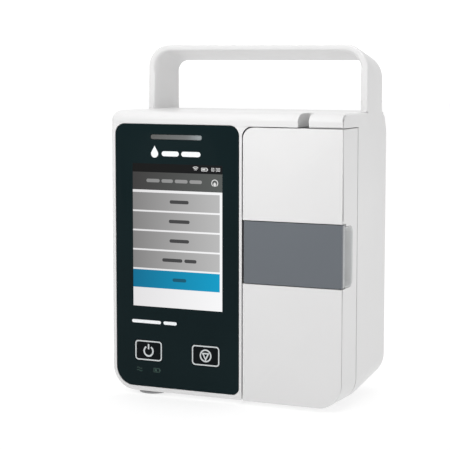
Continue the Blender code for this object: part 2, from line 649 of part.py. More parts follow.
def build_camshaft(axis):
    """One shaft with a disc for each finger, each disc turned an eighth of a turn further."""
    steps = 16
    low = GEAR_Z[0] - 2.0
    high = FRAME_HIGH + 2.0
    half_disc = FINGER_THICK / 2 - 0.5

    def ring(centre, radius, height):
        return [(x, d, height) for x, d in circle(centre, radius, steps)]

    loops = [ring(axis, SHAFT_R, low)]
    for number, height in enumerate(finger_heights()):
        angle = 2.0 * math.pi * number / FINGERS
        centre = (axis[0] + CAM_OFFSET * math.cos(angle), axis[1] + CAM_OFFSET * math.sin(angle))
        loops.append(ring(axis, SHAFT_R, height - half_disc))
        loops.append(ring(centre, CAM_R, height - half_disc))
        loops.append(ring(centre, CAM_R, height + half_disc))
        loops.append(ring(axis, SHAFT_R, height + half_disc))
    loops.append(ring(axis, SHAFT_R, high))
    make("camshaft", loft(loops), FINISH["steel"], (*axis, low))


# ---------------------------------------------------------------- door

def build_door():
    stations = ((0.0, DOOR_EDGE), (DOOR_EDGE, 0.0), (DOOR_BACK, 0.0))
    outside = loft([[(x, d, z) for x, z in door_outline(inset)] for d, inset in stations])
    door = make("door_shell", outside, FINISH["white"], (*HINGE, 80.0))
    inside_low = BODY_BOTTOM + DOOR_SKIN
    inside_high = DOOR_TOP - DOOR_SKIN
    inner = rounded(DOOR_LEFT + DOOR_SKIN, HALF - DOOR_SKIN, inside_low, inside_high,
                    (0.5, CORNER_R - DOOR_SKIN, 0.5, 3.0), 5)
    cut(
        door,
        tool("door_inner_tool", prism(inner, DOOR_SKIN, DOOR_BACK + 1.0)),
        tool("left_wall_tool", box(0.0, HINGE[0], 7.0, DOOR_BACK + 1.0, inside_low, inside_high)),
        tool("low_left_tool", box(0.0, HINGE[0], DOOR_SKIN, DOOR_BACK, inside_low, LOW_LUG[1] + 8.0)),
        tool("high_left_tool", box(0.0, HINGE[0], DOOR_SKIN, DOOR_BACK, HIGH_LUG[0] - 8.0, inside_high)),
        tool("swing_corner_tool", box(0.0, HINGE[0] - 2.5, DOOR_BACK - 2.5, DOOR_BACK + 1.0, -5.0, 170.0)),
    )
    x, d = HINGE
    for name, low in (("low", LOW_LUG[1] + GAP), ("high", HIGH_LUG[0] - GAP - KNUCKLE)):
        knuckle = rounded(x - 3.0, x + 3.2, 1.0, d + 2.8, (0.0, 0.0, 2.4, 2.4), 4)
        join(door, tool(name + "_knuckle_tool", prism(knuckle, low, low + KNUCKLE, "z")))
        pin_hole = rod(HINGE, HINGE_PIN_R + RUN, low - 1.0, low + KNUCKLE + 1.0)
        cut(door, tool(name + "_knuckle_hole_tool", pin_hole))
    recess_low = LEVER[2] - SEAM
    recess_high = LEVER[3] + SEAM
    floor = box(DOOR_LEFT, HALF, 0.5, RECESS_DEPTH + 2.0, recess_low - 2.0, recess_high + 2.0)
    join(door, tool("recess_floor_tool", floor))
    cut(
        door,
        tool("lever_recess_tool", box(0.0, HALF + 5.0, -5.0, RECESS_DEPTH, recess_low, recess_high)),
        tool("cup_hole_tool", prism(cup_outline(GAP), CUP[0] - GAP, HALF + 5.0, "x")),
        tool("lever_pin_hole_tool", rod(LEVER_PIVOT, LEVER_PIN_R + RUN, recess_low - 1.6, recess_high + 1.6)),
        tool("tube_exit_tool", box(TUBE_X - 3.5, TUBE_X + 3.5, 10.0, DOOR_BACK + 1.0, -5.0, 10.0)),
        tool("tube_entry_tool", box(TUBE_X - 3.5, TUBE_X + 3.5, DOOR_SKIN, DOOR_BACK + 1.0, 150.0, 170.0)),
    )
    for name, low, high in (("hinge_pin_low", LOW_LUG[0] + 0.3, LOW_LUG[1] + KNUCKLE),
                            ("hinge_pin_high", HIGH_LUG[0] - KNUCKLE, HIGH_LUG[1] - 0.3)):
        make(name, rod(HINGE, HINGE_PIN_R, low, high), FINISH["steel"], (*HINGE, low))


def cup_outline(grow):
    """Side view of the finger recess; its rear corners are round."""
    front = CUP[2] - grow
    back = CUP[3] + grow
    radius = 4.0 + grow
    return rounded(front, back, CUP[4] - grow, CUP[5] + grow, (0.0, radius, radius, 0.0), 4)


def build_door_fittings():
    cup = make("finger_recess", prism(cup_outline(0.0), CUP[0], CUP[1], "x"), FINISH["pale_grey"])
    hollow = rounded(0.0, CUP[3] - 1.0, CUP[4] + 1.0, CUP[5] - 1.0, (0.0, 3.0, 3.0, 0.0), 4)
    cut(cup, tool("cup_hollow_tool", prism(hollow, CUP[0] + 1.0, HALF + 5.0, "x")))

    lever = make("door_handle", prism(lever_outline(), LEVER[2], LEVER[3], "z"), FINISH["band"],
                 (*LEVER_PIVOT, LEVER[2]))
    cut(lever, tool("lever_bore_tool", rod(LEVER_PIVOT, LEVER_PIN_R + RUN, LEVER[2] - 1.0, LEVER[3] + 1.0)))
    pin_low = LEVER[2] - SEAM - 1.3
    make("handle_pin", rod(LEVER_PIVOT, LEVER_PIN_R, pin_low, LEVER[3] + SEAM + 1.3), FINISH["steel"],
         (*LEVER_PIVOT, pin_low))

    back = RECESS_DEPTH + 2.0 + GAP
    sheet = prism(rounded(26.0, 56.3, 16.0, 136.0, 3.0, 2), back, back + 1.2)
    frame = make("door_frame", sheet, FINISH["steel"])
    for side, x in (("left", 26.0), ("right", 55.3)):
        flange = box(x, x + 1.0, back + 0.5, back + 3.4, 20.0, 132.0)
        join(frame, tool(side + "_flange_tool", flange))

    plate_low = finger_heights()[0] - 7.0
    plate_high = finger_heights()[-1] + 7.0
    plate_back = CHASSIS_FRONT - 1.1 - GAP
    plate = box(TUBE_X - 6.6, TUBE_X + 6.6, plate_back - 1.3, plate_back, plate_low, plate_high)
    make("pressure_plate", plate, FINISH["aluminium"], (TUBE_X, plate_back, 82.0))
    wire = 0.25
    spring_front = back + 1.2 + GAP + wire
    spring_back = plate_back - 1.3 - PLATE_TRAVEL - GAP - wire
    for number, height in enumerate((plate_low + 8.0, plate_high - 8.0), start=1):
        spring = coil((TUBE_X, height), 3.4, wire, 1.5, spring_front, spring_back, "d")
        make(f"plate_spring_{number}", spring, FINISH["steel"])

    bar_low = 30.0
    bar_high = 142.0
    bar = make("latch_bar", box(57.1, 60.1, 10.2, 12.4, bar_low, bar_high), FINISH["steel"],
               (58.6, 11.3, bar_low))
    for name, low in zip(("low", "high"), HOOKS):
        join(bar, tool(name + "_hook_tool", prism(hook_outline(low), 57.1, 60.1, "x")))
    spring = coil((58.6, 11.3), 1.9, 0.3, 4.0, bar_high + GAP + 0.3, 151.7, "z")
    make("latch_spring", spring, FINISH["steel"])


def hook_outline(low):
    """Hook that reaches back through the chassis slot, its nose pointing down."""
    return ((11.0, low + 8.0), (11.0, low + 4.0), (18.4, low + 4.0), (18.4, low + 1.5),
            (19.6, low + 1.5), (20.6, low + 4.0), (20.6, low + 8.0))


def lever_outline():
    """Plan view: flat front, round boss at the pivot and a thick end to pull on."""
    x0, x1 = LEVER[:2]
    boss = arc(LEVER_PIVOT, LEVER_BOSS_R, 10.0, 190.0, 8)
    return [(x0, 0.05), (x1, 0.05), (x1, LEVER_END), (x1 - 3.0, LEVER_END), (x1 - 5.0, LEVER_THICK),
            *boss, (x0, 1.8)]


def coil(centre, radius, wire, turns, low, high, along, per_turn=12, sides=6):
    """Round wire wound about an axis, flat cut at both ends."""
    loops = []
    count = int(turns * per_turn)
    for i in range(count + 1):
        share = i / count
        angle = 2.0 * math.pi * turns * share
        position = low + (high - low) * share
        loop = []
        for a, b in circle((0.0, 0.0), wire, sides):
            reach = radius + a
            across = centre[0] + reach * math.cos(angle)
            up = centre[1] + reach * math.sin(angle)
            loop.append((across, position + b, up) if along == "d" else (across, up, position + b))
        loops.append(loop)
    return loft(loops)


# ---------------------------------------------------------------- run

for existing in list(bpy.data.objects):
    bpy.data.objects.remove(existing, do_unlink=True)

FINISH = {
    "white": finish("white_plastic", (0.80, 0.80, 0.81), 0.35),
    "glass": finish("black_glass", (0.010, 0.020, 0.022), 0.12),
    "black": finish("black_plastic", (0.02, 0.022, 0.024), 0.35),
    "screen": finish("screen", (0.30, 0.30, 0.31), 0.20),
    "lens": finish("frosted_lens", (0.35, 0.37, 0.38), 0.40),
    "band": finish("grey_plastic", (0.150, 0.170, 0.195), 0.40),
    "pale_grey": finish("pale_grey_plastic", (0.36, 0.37, 0.37), 0.45),
    "grey": finish("grey_cover", (0.45, 0.46, 0.47), 0.45),
    "grey_frame": finish("grey_frame", (0.28, 0.29, 0.31), 0.45),
    "rubber": finish("rubber", (0.16, 0.16, 0.17), 0.80),
    "silicone": finish("silicone", (0.55, 0.57, 0.58), 0.60),
    "board": finish("circuit_board", (0.01, 0.13, 0.05), 0.45),
    "battery": finish("battery_wrap", (0.02, 0.06, 0.20), 0.45),
    "steel": finish("steel", (0.62, 0.62, 0.63), 0.28, 1.0),
    "aluminium": finish("aluminium", (0.72, 0.73, 0.74), 0.35, 1.0),
    "brass": finish("brass", (0.75, 0.55, 0.25), 0.30, 1.0),
    "motor": finish("motor_case", (0.05, 0.05, 0.055), 0.40, 0.6),
    "nylon": finish("nylon", (0.74, 0.73, 0.68), 0.50),
    "blue": finish("blue_plastic", (0.03, 0.20, 0.50), 0.40),
    "tool": finish("tool", (1.0, 0.3, 0.1), 1.0),
}

build_housing()
build_feet()
build_display_side()
build_electronics()
build_back()
build_chassis()
build_sensors()
build_mechanism()
build_door()
build_door_fittings()
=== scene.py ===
"""Looks of the infusion pump: fine shells, printed panel, display, materials, light and camera.

Shapes are worked out in millimetres as (x, d, z): x to the right, d behind the front face,
z above the floor.
"""
import math

import bmesh
import bpy
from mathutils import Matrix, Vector


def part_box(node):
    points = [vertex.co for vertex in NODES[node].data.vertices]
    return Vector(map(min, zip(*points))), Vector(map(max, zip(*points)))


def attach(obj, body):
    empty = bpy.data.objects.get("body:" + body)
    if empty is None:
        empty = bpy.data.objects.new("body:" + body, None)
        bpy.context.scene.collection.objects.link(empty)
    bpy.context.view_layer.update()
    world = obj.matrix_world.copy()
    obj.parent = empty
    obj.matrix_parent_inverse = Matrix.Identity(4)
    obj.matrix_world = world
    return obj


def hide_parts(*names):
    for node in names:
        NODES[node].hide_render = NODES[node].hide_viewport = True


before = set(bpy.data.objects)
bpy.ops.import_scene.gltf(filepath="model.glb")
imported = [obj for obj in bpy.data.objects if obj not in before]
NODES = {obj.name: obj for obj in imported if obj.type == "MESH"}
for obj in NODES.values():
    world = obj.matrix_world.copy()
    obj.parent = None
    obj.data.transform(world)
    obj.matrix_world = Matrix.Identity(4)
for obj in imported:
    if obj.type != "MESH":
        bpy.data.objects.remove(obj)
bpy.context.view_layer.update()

MM = 0.001
GAP = 0.3
# How far a cutter reaches past the surface that it opens, and past the whole piece.
PAST = 1.0
FAR_PAST = 5.0
# How far one face sinks into the next, so that no two faces lie in one plane.
SUNK = 0.02


# ---------------------------------------------------------------- places taken from the frame

FRONT_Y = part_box("main_housing")[0].y / MM


def span(node):
    """Ends of a CAD node: x low, x high, d low, d high, z low, z high."""
    low, high = (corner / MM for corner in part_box(node))
    return low.x, high.x, low.y - FRONT_Y, high.y - FRONT_Y, low.z, high.z


def face(node):
    """A node's rectangle seen from the front: x low, x high, z low, z high."""
    ends = span(node)
    return ends[0], ends[1], ends[4], ends[5]


def middle(node):
    """Centre (x, z) of a node seen from the front."""
    x0, x1, z0, z1 = face(node)
    return (x0 + x1) / 2, (z0 + z1) / 2


BODY = span("main_housing")
HALF = BODY[1]
DEPTH = BODY[3]
BODY_BOTTOM = BODY[4]
HANDLE_TOP = BODY[5]
BODY_TOP = 166.2
WALL = 2.5
FRONT_WALL = 4.3
REAR_WALL = 5.0

CORNER_R = 14.0
TOP_CORNER_R = 1.5
# Rows of points below the top corner, where the sides start to lean in.
SIDE_ROWS = (11.5, 9.6, 7.9, 6.3, 4.7, 3.1, 1.5)
# Depth of the lip's undercut and how far it lies below the lip's front edge.
UNDERCUT = ((-1.0, 4.4), (0.0, 4.2), (0.26, 3.2), (0.32, 2.8), (0.29, 2.2), (0.20, 1.4),
            (0.09, 0.6), (0.0, -0.1), (-1.0, -0.3))
LIP_REACH = 8.5
LIP_RISE = 4.8
FRONT_EDGE_R = 0.8
REAR_SIDE_R = 6.0
REAR_TOP_R = 12.0
REAR_LOW_R = 6.0
KEEL_START = 32.0
KEEL_SLOPE = 0.15

PANEL = face("front_panel")
PANEL_RADII = (11.0, 4.2, 6.0, 6.0)
PANEL_BACK = span("front_panel")[3]
SCREEN = face("lcd_module")
ALARM = face("alarm_light")
ALARM_R = 1.3
KEYS = ("power_key", "start_stop_key")
KEY_R = 2.0

DOOR = span("door_shell")
DOOR_TOP_LEFT_R = 6.4
SWING_CORNER_R = 6.1
DOOR_SKIN = 2.2
DOOR_EDGE_R = 0.4
SEAM = 0.4
GROOVE = 0.4
GROOVE_START = 0.5
GROOVE_END = 1.0
LIP_GROOVE = 0.9
REAR_STEP = 0.8
REAR_STEP_IN = 0.7
BAY_FLOOR = DOOR[3] + SEAM
HINGE = (20.0, 5.2)
HINGE_PIN_R = 1.2
HINGE_SIDE_DEPTH = 7.0
KNUCKLE_LOWS = (14.3, 140.0)
KNUCKLE_HEIGHT = 5.7
POCKET_ENDS = (22.0, 138.0)
BAY_LEFT = 10.3

LEVER = span("door_handle")
LEVER_PIVOT = (16.5, 3.2)
LEVER_FACE = 2.2
LEVER_BACK = 4.4
LEVER_BORE_R = 1.02
LEVER_BOSS_R = 2.6
RECESS_DEPTH = 6.1
CUP = span("finger_recess")
CUP_R = 4.0
CUP_SKIN = 0.3
CUP_FLOOR = 3.5

ARCH_FRONT = 43.0
ARCH_BACK = 68.6
ARCH_HALF = 70.4
ARCH_DROP = 6.1
ARCH_THICK = 3.6
ARCH_ARM = 4.9
ARCH_LEAN = 3.4
ARCH_OUTER_R = 14.0
ARCH_INNER_R = 10.0
ARCH_INNER_R_BACK = 6.5
ARCH_EDGE_R = 1.3
ARCH_PALM_R = 5.0
ARCH_PALM_SIDE = 0.7
FLARE_LOW = 160.0
FLARE_RISE = 16.0
FLARE_SINK = 7.0
FLARE_STATIONS = (28.0, 36.0, 39.5)

TUBE_X = 48.5
TUBE_HALF = 3.5
TUBE_SLOT = (45.2, 51.7, 17.0)
TUBE_SLOT_LOW = 150.0
MECHANISM_OPENING = (22.0, 64.0, 14.0, 146.0)
REAR_OPENING = (-54.0, 54.0, 28.0, 142.0)
REAR_OPENING_R = 3.0
REAR_OPENING_FRONT = 65.0

COVER = face("rear_cover")
COVER_FRONT = span("rear_cover")[2]
COVER_R = 6.3


# ---------------------------------------------------------------- shapes

SHARP = math.radians(35.0)
EDGE_STEPS = 5


def place(x, d, z):
    return Vector((x, FRONT_Y + d, z)) * MM


def linked(name, data):
    obj = bpy.data.objects.new(name, data)
    bpy.context.scene.collection.objects.link(obj)
    return obj


def placed(name, bm, materials):
    """Object from a mesh in millimetres whose faces already point the right way."""
    for vert in bm.verts:
        vert.co = place(*vert.co)
    mesh = bpy.data.meshes.new(name)
    bm.to_mesh(mesh)
    bm.free()
    for material in materials:
        mesh.materials.append(material)
    return linked(name, mesh)


def make(name, bm, *materials):
    """Named object from a mesh in millimetres."""
    bmesh.ops.recalc_face_normals(bm, faces=bm.faces[:])
    return placed(name, bm, materials)


def combine_objects(target, operation, tools):
    """Boolean each tool with the target for good; the tools are used up."""
    for tool in tools:
        modifier = target.modifiers.new("cut", "BOOLEAN")
        modifier.operation = operation
        modifier.solver = "EXACT"
        modifier.object = tool
    settle(target)
    for tool in tools:
        bpy.data.objects.remove(tool, do_unlink=True)


def combine(target, operation, bodies):
    tools = [make(f"tool_{number}", bm) for number, bm in enumerate(bodies)]
    combine_objects(target, operation, tools)


def cut(target, *bodies):
    combine(target, "DIFFERENCE", bodies)


def join(target, *bodies):
    combine(target, "UNION", bodies)


def settle(obj):
    """Turn an object's modifiers into its mesh."""
    graph = bpy.context.evaluated_depsgraph_get()
    mesh = bpy.data.meshes.new_from_object(obj.evaluated_get(graph))
    obj.modifiers.clear()
    obj.data = mesh


def add_bevel(obj, width, segments):
    bevel = obj.modifiers.new("soft_edges", "BEVEL")
    bevel.limit_method = "ANGLE"
    bevel.angle_limit = SHARP
    bevel.width = width * MM
    bevel.segments = segments
    return bevel


def soften(obj, width=0.0, segments=3):
    """Shade the object smooth up to its sharp edges, and round those if a width is given."""
    obj.data.shade_smooth()
    obj.data.set_sharp_from_angle(angle=SHARP)
    if width > 0.0:
        bevel = add_bevel(obj, width, segments)
        bevel.use_clamp_overlap = False
        bevel.harden_normals = True


def polish(node, material, width=0.25):
    """Give a CAD node its finish, weld its facets and soften its edges."""
    obj = NODES[node]
    obj.data.materials.clear()
    obj.data.materials.append(material)
    obj.data.shade_smooth()
    weld = obj.modifiers.new("weld", "WELD")
    weld.merge_threshold = 0.02 * MM
    add_bevel(obj, width, 2).harden_normals = False


def loft(loops):
    """Closed solid through loops that all have the same number of points."""
    bm = bmesh.new()
    rings = [[bm.verts.new(point) for point in loop] for loop in loops]
    count = len(rings[0])
    for near, far in zip(rings, rings[1:]):
        for i in range(count):
            j = (i + 1) % count
            bm.faces.new((near[i], near[j], far[j], far[i]))
    bm.faces.new(rings[0][::-1])
    bm.faces.new(rings[-1])
    return bm


def prism(outline, low, high, along="d"):
    """Extrude a flat outline along one axis: (x, z) along d, (x, d) along z or (d, z) along x."""
    spots = {
        "d": lambda a, b, t: (a, t, b),
        "z": lambda a, b, t: (a, b, t),
        "x": lambda a, b, t: (t, a, b),
    }
    spot = spots[along]
    return loft([[spot(a, b, t) for a, b in outline] for t in (low, high)])


def box(x0, x1, d0, d1, z0, z1):
    return prism(((x0, z0), (x1, z0), (x1, z1), (x0, z1)), d0, d1)


def arc(centre, radius, start, end, steps):
    """Points along an arc, angles in degrees."""
    angles = [math.radians(start + (end - start) * i / steps) for i in range(steps + 1)]
    return [(centre[0] + radius * math.cos(a), centre[1] + radius * math.sin(a)) for a in angles]


def circle(centre, radius, steps):
    return arc(centre, radius, 0.0, 360.0, steps)[:-1]


def rounded(a0, a1, b0, b1, radii, steps=12):
    """Rectangle outline; the radii go round from the low corner: low-a, high-a, then back."""
    if isinstance(radii, (int, float)):
        radii = (radii,) * 4
    corners = ((a0, b0, 1, 1), (a1, b0, -1, 1), (a1, b1, -1, -1), (a0, b1, 1, -1))
    points = []
    for turn, ((a, b, side_a, side_b), radius) in enumerate(zip(corners, radii)):
        if radius > 0.0:
            centre = (a + side_a * radius, b + side_b * radius)
            start = 180.0 + 90.0 * turn
            points += arc(centre, radius, start, start + 90.0, steps)
        else:
            points.append((a, b))
    return points


def grown(rect, by):
    return (rect[0] - by, rect[1] + by, rect[2] - by, rect[3] + by)


def quarter_round(radius, steps):
    """Depth and inset pairs down a rounded front edge, from the face to the side."""
    angles = [math.radians(90.0 * i / steps) for i in range(steps + 1)]
    return [(radius * (1.0 - math.cos(a)), radius * (1.0 - math.sin(a))) for a in angles]


def plate(rect, radii, front, back, edge):
    """Rounded plate whose front edge is a quarter round of radius edge."""
    loops = []
    for depth, inset in quarter_round(edge, EDGE_STEPS):
        trimmed = [max(radius - inset, 0.05) for radius in radii]
        loops.append([(x, front + depth, z) for x, z in rounded(*grown(rect, -inset), trimmed)])
    loops.append([(x, back, z) for x, z in rounded(*rect, radii)])
    return loft(loops)


def rod(centre, radius, low, high):
    """Upright round rod."""
    return prism(circle(centre, radius, 40), low, high, "z")


def turned(profile, centre, steps):
    """Solid of revolution round an upright axis, through (radius, height) pairs."""
    rings = [(circle(centre, radius, steps), z) for radius, z in profile]
    return loft([[(x, d, z) for x, d in points] for points, z in rings])


def round_in(distance, radius, rise=None):
    """How far a rounded edge pulls in this far from the edge; an ellipse if rise is given."""
    if distance >= radius:
        return 0.0
    share = 1.0 - math.sqrt(max(0.0, 1.0 - ((radius - distance) / radius) ** 2))
    return share * (radius if rise is None else rise)


def ease_stations(start, radius, steps, backwards=False):
    """Depths along a rounded edge, close together where it turns most."""
    angles = [math.radians(90.0 * i / steps) for i in range(steps + 1)]
    offsets = [radius * (1.0 - math.cos(angle)) for angle in angles]
    return [start - offset if backwards else start + offset for offset in offsets]


# ---------------------------------------------------------------- materials

def new_material(name):
    material = bpy.data.materials.new(name)
    material.use_nodes = True
    tree = material.node_tree
    return material, tree, tree.nodes["Principled BSDF"]


def noise(tree, scale, detail=3.0, stretch=(1.0, 1.0, 1.0)):
    """Noise in the piece's own coordinates; scale counts features per metre."""
    coords = tree.nodes.new("ShaderNodeTexCoord")
    mapping = tree.nodes.new("ShaderNodeMapping")
    mapping.inputs["Scale"].default_value = stretch
    texture = tree.nodes.new("ShaderNodeTexNoise")
    texture.inputs["Scale"].default_value = scale
    texture.inputs["Detail"].default_value = detail
    tree.links.new(coords.outputs["Object"], mapping.inputs["Vector"])
    tree.links.new(mapping.outputs["Vector"], texture.inputs["Vector"])
    return texture.outputs["Fac"]


def ramp(tree, factor, stops):
    """Colour ramp with (position, colour) stops."""
    node = tree.nodes.new("ShaderNodeValToRGB")
    elements = node.color_ramp.elements
    while len(elements) < len(stops):
        elements.new(0.5)
    for element, (position, colour) in zip(elements, stops):
        element.position = position
        element.color = (*colour, 1.0)
    tree.links.new(factor, node.inputs["Fac"])
    return node.outputs["Color"]


def spread(tree, factor, low, high, out_low, out_high):
    """Map a factor range to an output range."""
    node = tree.nodes.new("ShaderNodeMapRange")
    node.inputs["From Min"].default_value = low
    node.inputs["From Max"].default_value = high
    node.inputs["To Min"].default_value = out_low
    node.inputs["To Max"].default_value = out_high
    tree.links.new(factor, node.inputs["Value"])
    return node.outputs["Result"]


def across_node(tree, rect):
    """The piece's own coordinates, and a value from 0 to 1 across a rectangle."""
    coords = tree.nodes.new("ShaderNodeTexCoord")
    split = tree.nodes.new("ShaderNodeSeparateXYZ")
    tree.links.new(coords.outputs["Object"], split.inputs["Vector"])
    return coords, spread(tree, split.outputs["X"], rect[0] * MM, rect[1] * MM, 0.0, 1.0)


def grey(level):
    return (level, level, level)


def tinted(colour, by):
    return tuple(min(1.0, max(0.0, channel * by)) for channel in colour)


def bump(tree, shader, height, distance, strength=1.0):
    node = tree.nodes.new("ShaderNodeBump")
    node.inputs["Strength"].default_value = strength
    node.inputs["Distance"].default_value = distance
    tree.links.new(height, node.inputs["Height"])
    tree.links.new(node.outputs["Normal"], shader.inputs["Normal"])


def moulded_plastic(name, colour, roughness, grain=2600.0, depth=0.0000015, shade=0.012,
                    shine=0.5):
    """Injection moulding: fine spark texture, slow flow shade and slightly uneven gloss."""
    material, tree, shader = new_material(name)
    flow = noise(tree, 22.0, 2.0)
    dark, light = tinted(colour, 1.0 - shade), tinted(colour, 1.0 + shade)
    tint = ramp(tree, flow, ((0.30, dark), (0.70, light)))
    tree.links.new(tint, shader.inputs["Base Color"])
    gloss = spread(tree, noise(tree, 90.0, 3.0), 0.3, 0.7, roughness - 0.03, roughness + 0.03)
    tree.links.new(gloss, shader.inputs["Roughness"])
    bump(tree, shader, noise(tree, grain, 4.0), depth)
    shader.inputs["Specular IOR Level"].default_value = shine
    return material


def metal(name, colour, roughness, stretch):
    """Machined or drawn metal: fine lines along one axis and cloudy gloss."""
    material, tree, shader = new_material(name)
    lines = noise(tree, 900.0, 5.0, stretch)
    tint = ramp(tree, lines, ((0.25, tinted(colour, 0.82)), (0.75, tinted(colour, 1.10))))
    tree.links.new(tint, shader.inputs["Base Color"])
    gloss = spread(tree, lines, 0.3, 0.7, roughness - 0.08, roughness + 0.10)
    tree.links.new(gloss, shader.inputs["Roughness"])
    shader.inputs["Metallic"].default_value = 1.0
    bump(tree, shader, lines, 0.000004)
    return material


def black_glass():
    """Back-painted cover glass: deep teal black, polished, with faint wiping marks."""
    material, tree, shader = new_material("black_glass")
    cloud = noise(tree, 14.0, 2.0)
    deep, pale = (0.0034, 0.0105, 0.0122), (0.0048, 0.0132, 0.0152)
    tint = ramp(tree, cloud, ((0.30, deep), (0.70, pale)))
    tree.links.new(tint, shader.inputs["Base Color"])
    wipes = noise(tree, 60.0, 5.0, (1.0, 1.0, 0.25))
    tree.links.new(spread(tree, wipes, 0.35, 0.75, 0.05, 0.16), shader.inputs["Roughness"])
    bump(tree, shader, noise(tree, 9.0, 1.0), 0.00003, 0.3)
    shader.inputs["Specular IOR Level"].default_value = 0.06
    return material


def display_light(name, left, right):
    """Lit display colour under glass: fine cell grid, slow change across the picture."""
    material, tree, shader = new_material(name)
    coords, across = across_node(tree, SCREEN)
    colour = ramp(tree, across, ((0.0, left), (1.0, right)))
    cells = tree.nodes.new("ShaderNodeTexWave")
    cells.inputs["Scale"].default_value = 1400.0
    tree.links.new(coords.outputs["Object"], cells.inputs["Vector"])
    level = spread(tree, cells.outputs["Fac"], 0.0, 1.0, 0.97, 1.03)
    tree.links.new(colour, shader.inputs["Emission Color"])
    tree.links.new(level, shader.inputs["Emission Strength"])
    shader.inputs["Base Color"].default_value = (0.002, 0.002, 0.002, 1.0)
    shader.inputs["Specular IOR Level"].default_value = 0.1
    gloss = spread(tree, noise(tree, 60.0, 5.0), 0.35, 0.75, 0.08, 0.16)
    tree.links.new(gloss, shader.inputs["Roughness"])
    return material


def ink(name, colour, glow=0.0):
    """Screen-printed ink: dense, slightly uneven in cover. A glow given to the white and key
    prints is painted light.
    """
    material, tree, shader = new_material(name)
    stops = ((0.3, tinted(colour, 0.92)), (0.7, tinted(colour, 1.04)))
    tint = ramp(tree, noise(tree, 1800.0, 3.0), stops)
    tree.links.new(tint, shader.inputs["Base Color"])
    gloss = spread(tree, noise(tree, 400.0, 3.0), 0.3, 0.7, 0.18, 0.30)
    tree.links.new(gloss, shader.inputs["Roughness"])
    # Emission on printed ink: painted light on the white and key prints.
    if glow > 0.0:
        tree.links.new(tint, shader.inputs["Emission Color"])
        shader.inputs["Emission Strength"].default_value = glow
    return material


def light_guide():
    """Frosted light bar: brighter towards its right end, with a fine diffusing texture."""
    material, tree, shader = new_material("light_guide")
    _, across = across_node(tree, ALARM)
    dim, half_way, bright = (0.078, 0.079, 0.076), (0.125, 0.133, 0.134), (0.25, 0.28, 0.29)
    tint = ramp(tree, across, ((0.0, dim), (0.70, half_way), (1.0, bright)))
    tree.links.new(tint, shader.inputs["Base Color"])
    shader.inputs["Roughness"].default_value = 0.22
    bump(tree, shader, noise(tree, 2600.0, 2.0), 0.00001)
    return material


def circuit_board():
    """Solder mask with copper tracks showing through."""
    material, tree, shader = new_material("circuit_board")
    coords = tree.nodes.new("ShaderNodeTexCoord")
    tracks = tree.nodes.new("ShaderNodeTexBrick")
    tracks.inputs["Scale"].default_value = 260.0
    tracks.inputs["Mortar Size"].default_value = 0.06
    tracks.inputs["Color1"].default_value = (0.010, 0.120, 0.050, 1.0)
    tracks.inputs["Color2"].default_value = (0.012, 0.150, 0.060, 1.0)
    tracks.inputs["Mortar"].default_value = (0.030, 0.250, 0.100, 1.0)
    tree.links.new(coords.outputs["Object"], tracks.inputs["Vector"])
    tree.links.new(tracks.outputs["Color"], shader.inputs["Base Color"])
    gloss = spread(tree, noise(tree, 300.0), 0.3, 0.7, 0.3, 0.5)
    tree.links.new(gloss, shader.inputs["Roughness"])
    bump(tree, shader, tracks.outputs["Fac"], 0.00002)
    return material


WHITE = moulded_plastic("white_plastic", (0.715, 0.712, 0.712), 0.36)
BAND = moulded_plastic("grey_band", (0.114, 0.128, 0.145), 0.42, grain=1900.0, depth=0.000004)
CUP_GREY = moulded_plastic("recess_grey", (0.80, 0.81, 0.81), 0.50)
LEVER_EDGE = moulded_plastic("lever_edge", (0.44, 0.45, 0.46), 0.45)
COVER_GREY = moulded_plastic("cover_grey", (0.62, 0.63, 0.64), 0.45, depth=0.00001)
CHASSIS_GREY = moulded_plastic("chassis_grey", (0.28, 0.29, 0.31), 0.48, depth=0.000012)
BLACK = moulded_plastic("socket_black", (0.020, 0.021, 0.023), 0.40, shade=0.15)
KEY_BLACK = moulded_plastic("key_black", (0.003, 0.005, 0.006), 0.30, grain=2200.0,
                            depth=0.000003, shade=0.15, shine=0.06)
RUBBER = moulded_plastic("foot_rubber", (0.30, 0.30, 0.305), 0.80, grain=900.0,
                         depth=0.00004, shade=0.10)
SILICONE = moulded_plastic("silicone", (0.50, 0.52, 0.53), 0.55, grain=500.0)
BATTERY = moulded_plastic("battery_wrap", (0.02, 0.06, 0.20), 0.30, grain=250.0, depth=0.00003)
NYLON = moulded_plastic("nylon", (0.74, 0.73, 0.67), 0.45)
BLUE = moulded_plastic("clamp_blue", (0.03, 0.20, 0.50), 0.35)
MOTOR = moulded_plastic("motor_paint", (0.03, 0.03, 0.033), 0.35, grain=700.0, depth=0.00002)
STEEL = metal("steel", (0.60, 0.60, 0.61), 0.28, (1.0, 1.0, 0.08))
ALUMINIUM = metal("aluminium", (0.74, 0.75, 0.76), 0.36, (0.06, 1.0, 1.0))
BRASS = metal("brass", (0.78, 0.58, 0.28), 0.28, (1.0, 1.0, 0.1))
GLASS = black_glass()
GUIDE = light_guide()
BOARD = circuit_board()
# The white panel print and the key print glow a little: painted light, since printed ink is no
# lamp.
INK_WHITE = ink("ink_white", (0.80, 0.82, 0.84), 0.08)
INK_KEY = ink("ink_key", (0.57, 0.60, 0.61), 0.03)
INK_GREEN = ink("ink_green", (0.004, 0.036, 0.026), 0.05)
INK_DARK = ink("ink_dark", (0.060, 0.062, 0.066))
LABEL = ink("label_film", (0.66, 0.67, 0.68))

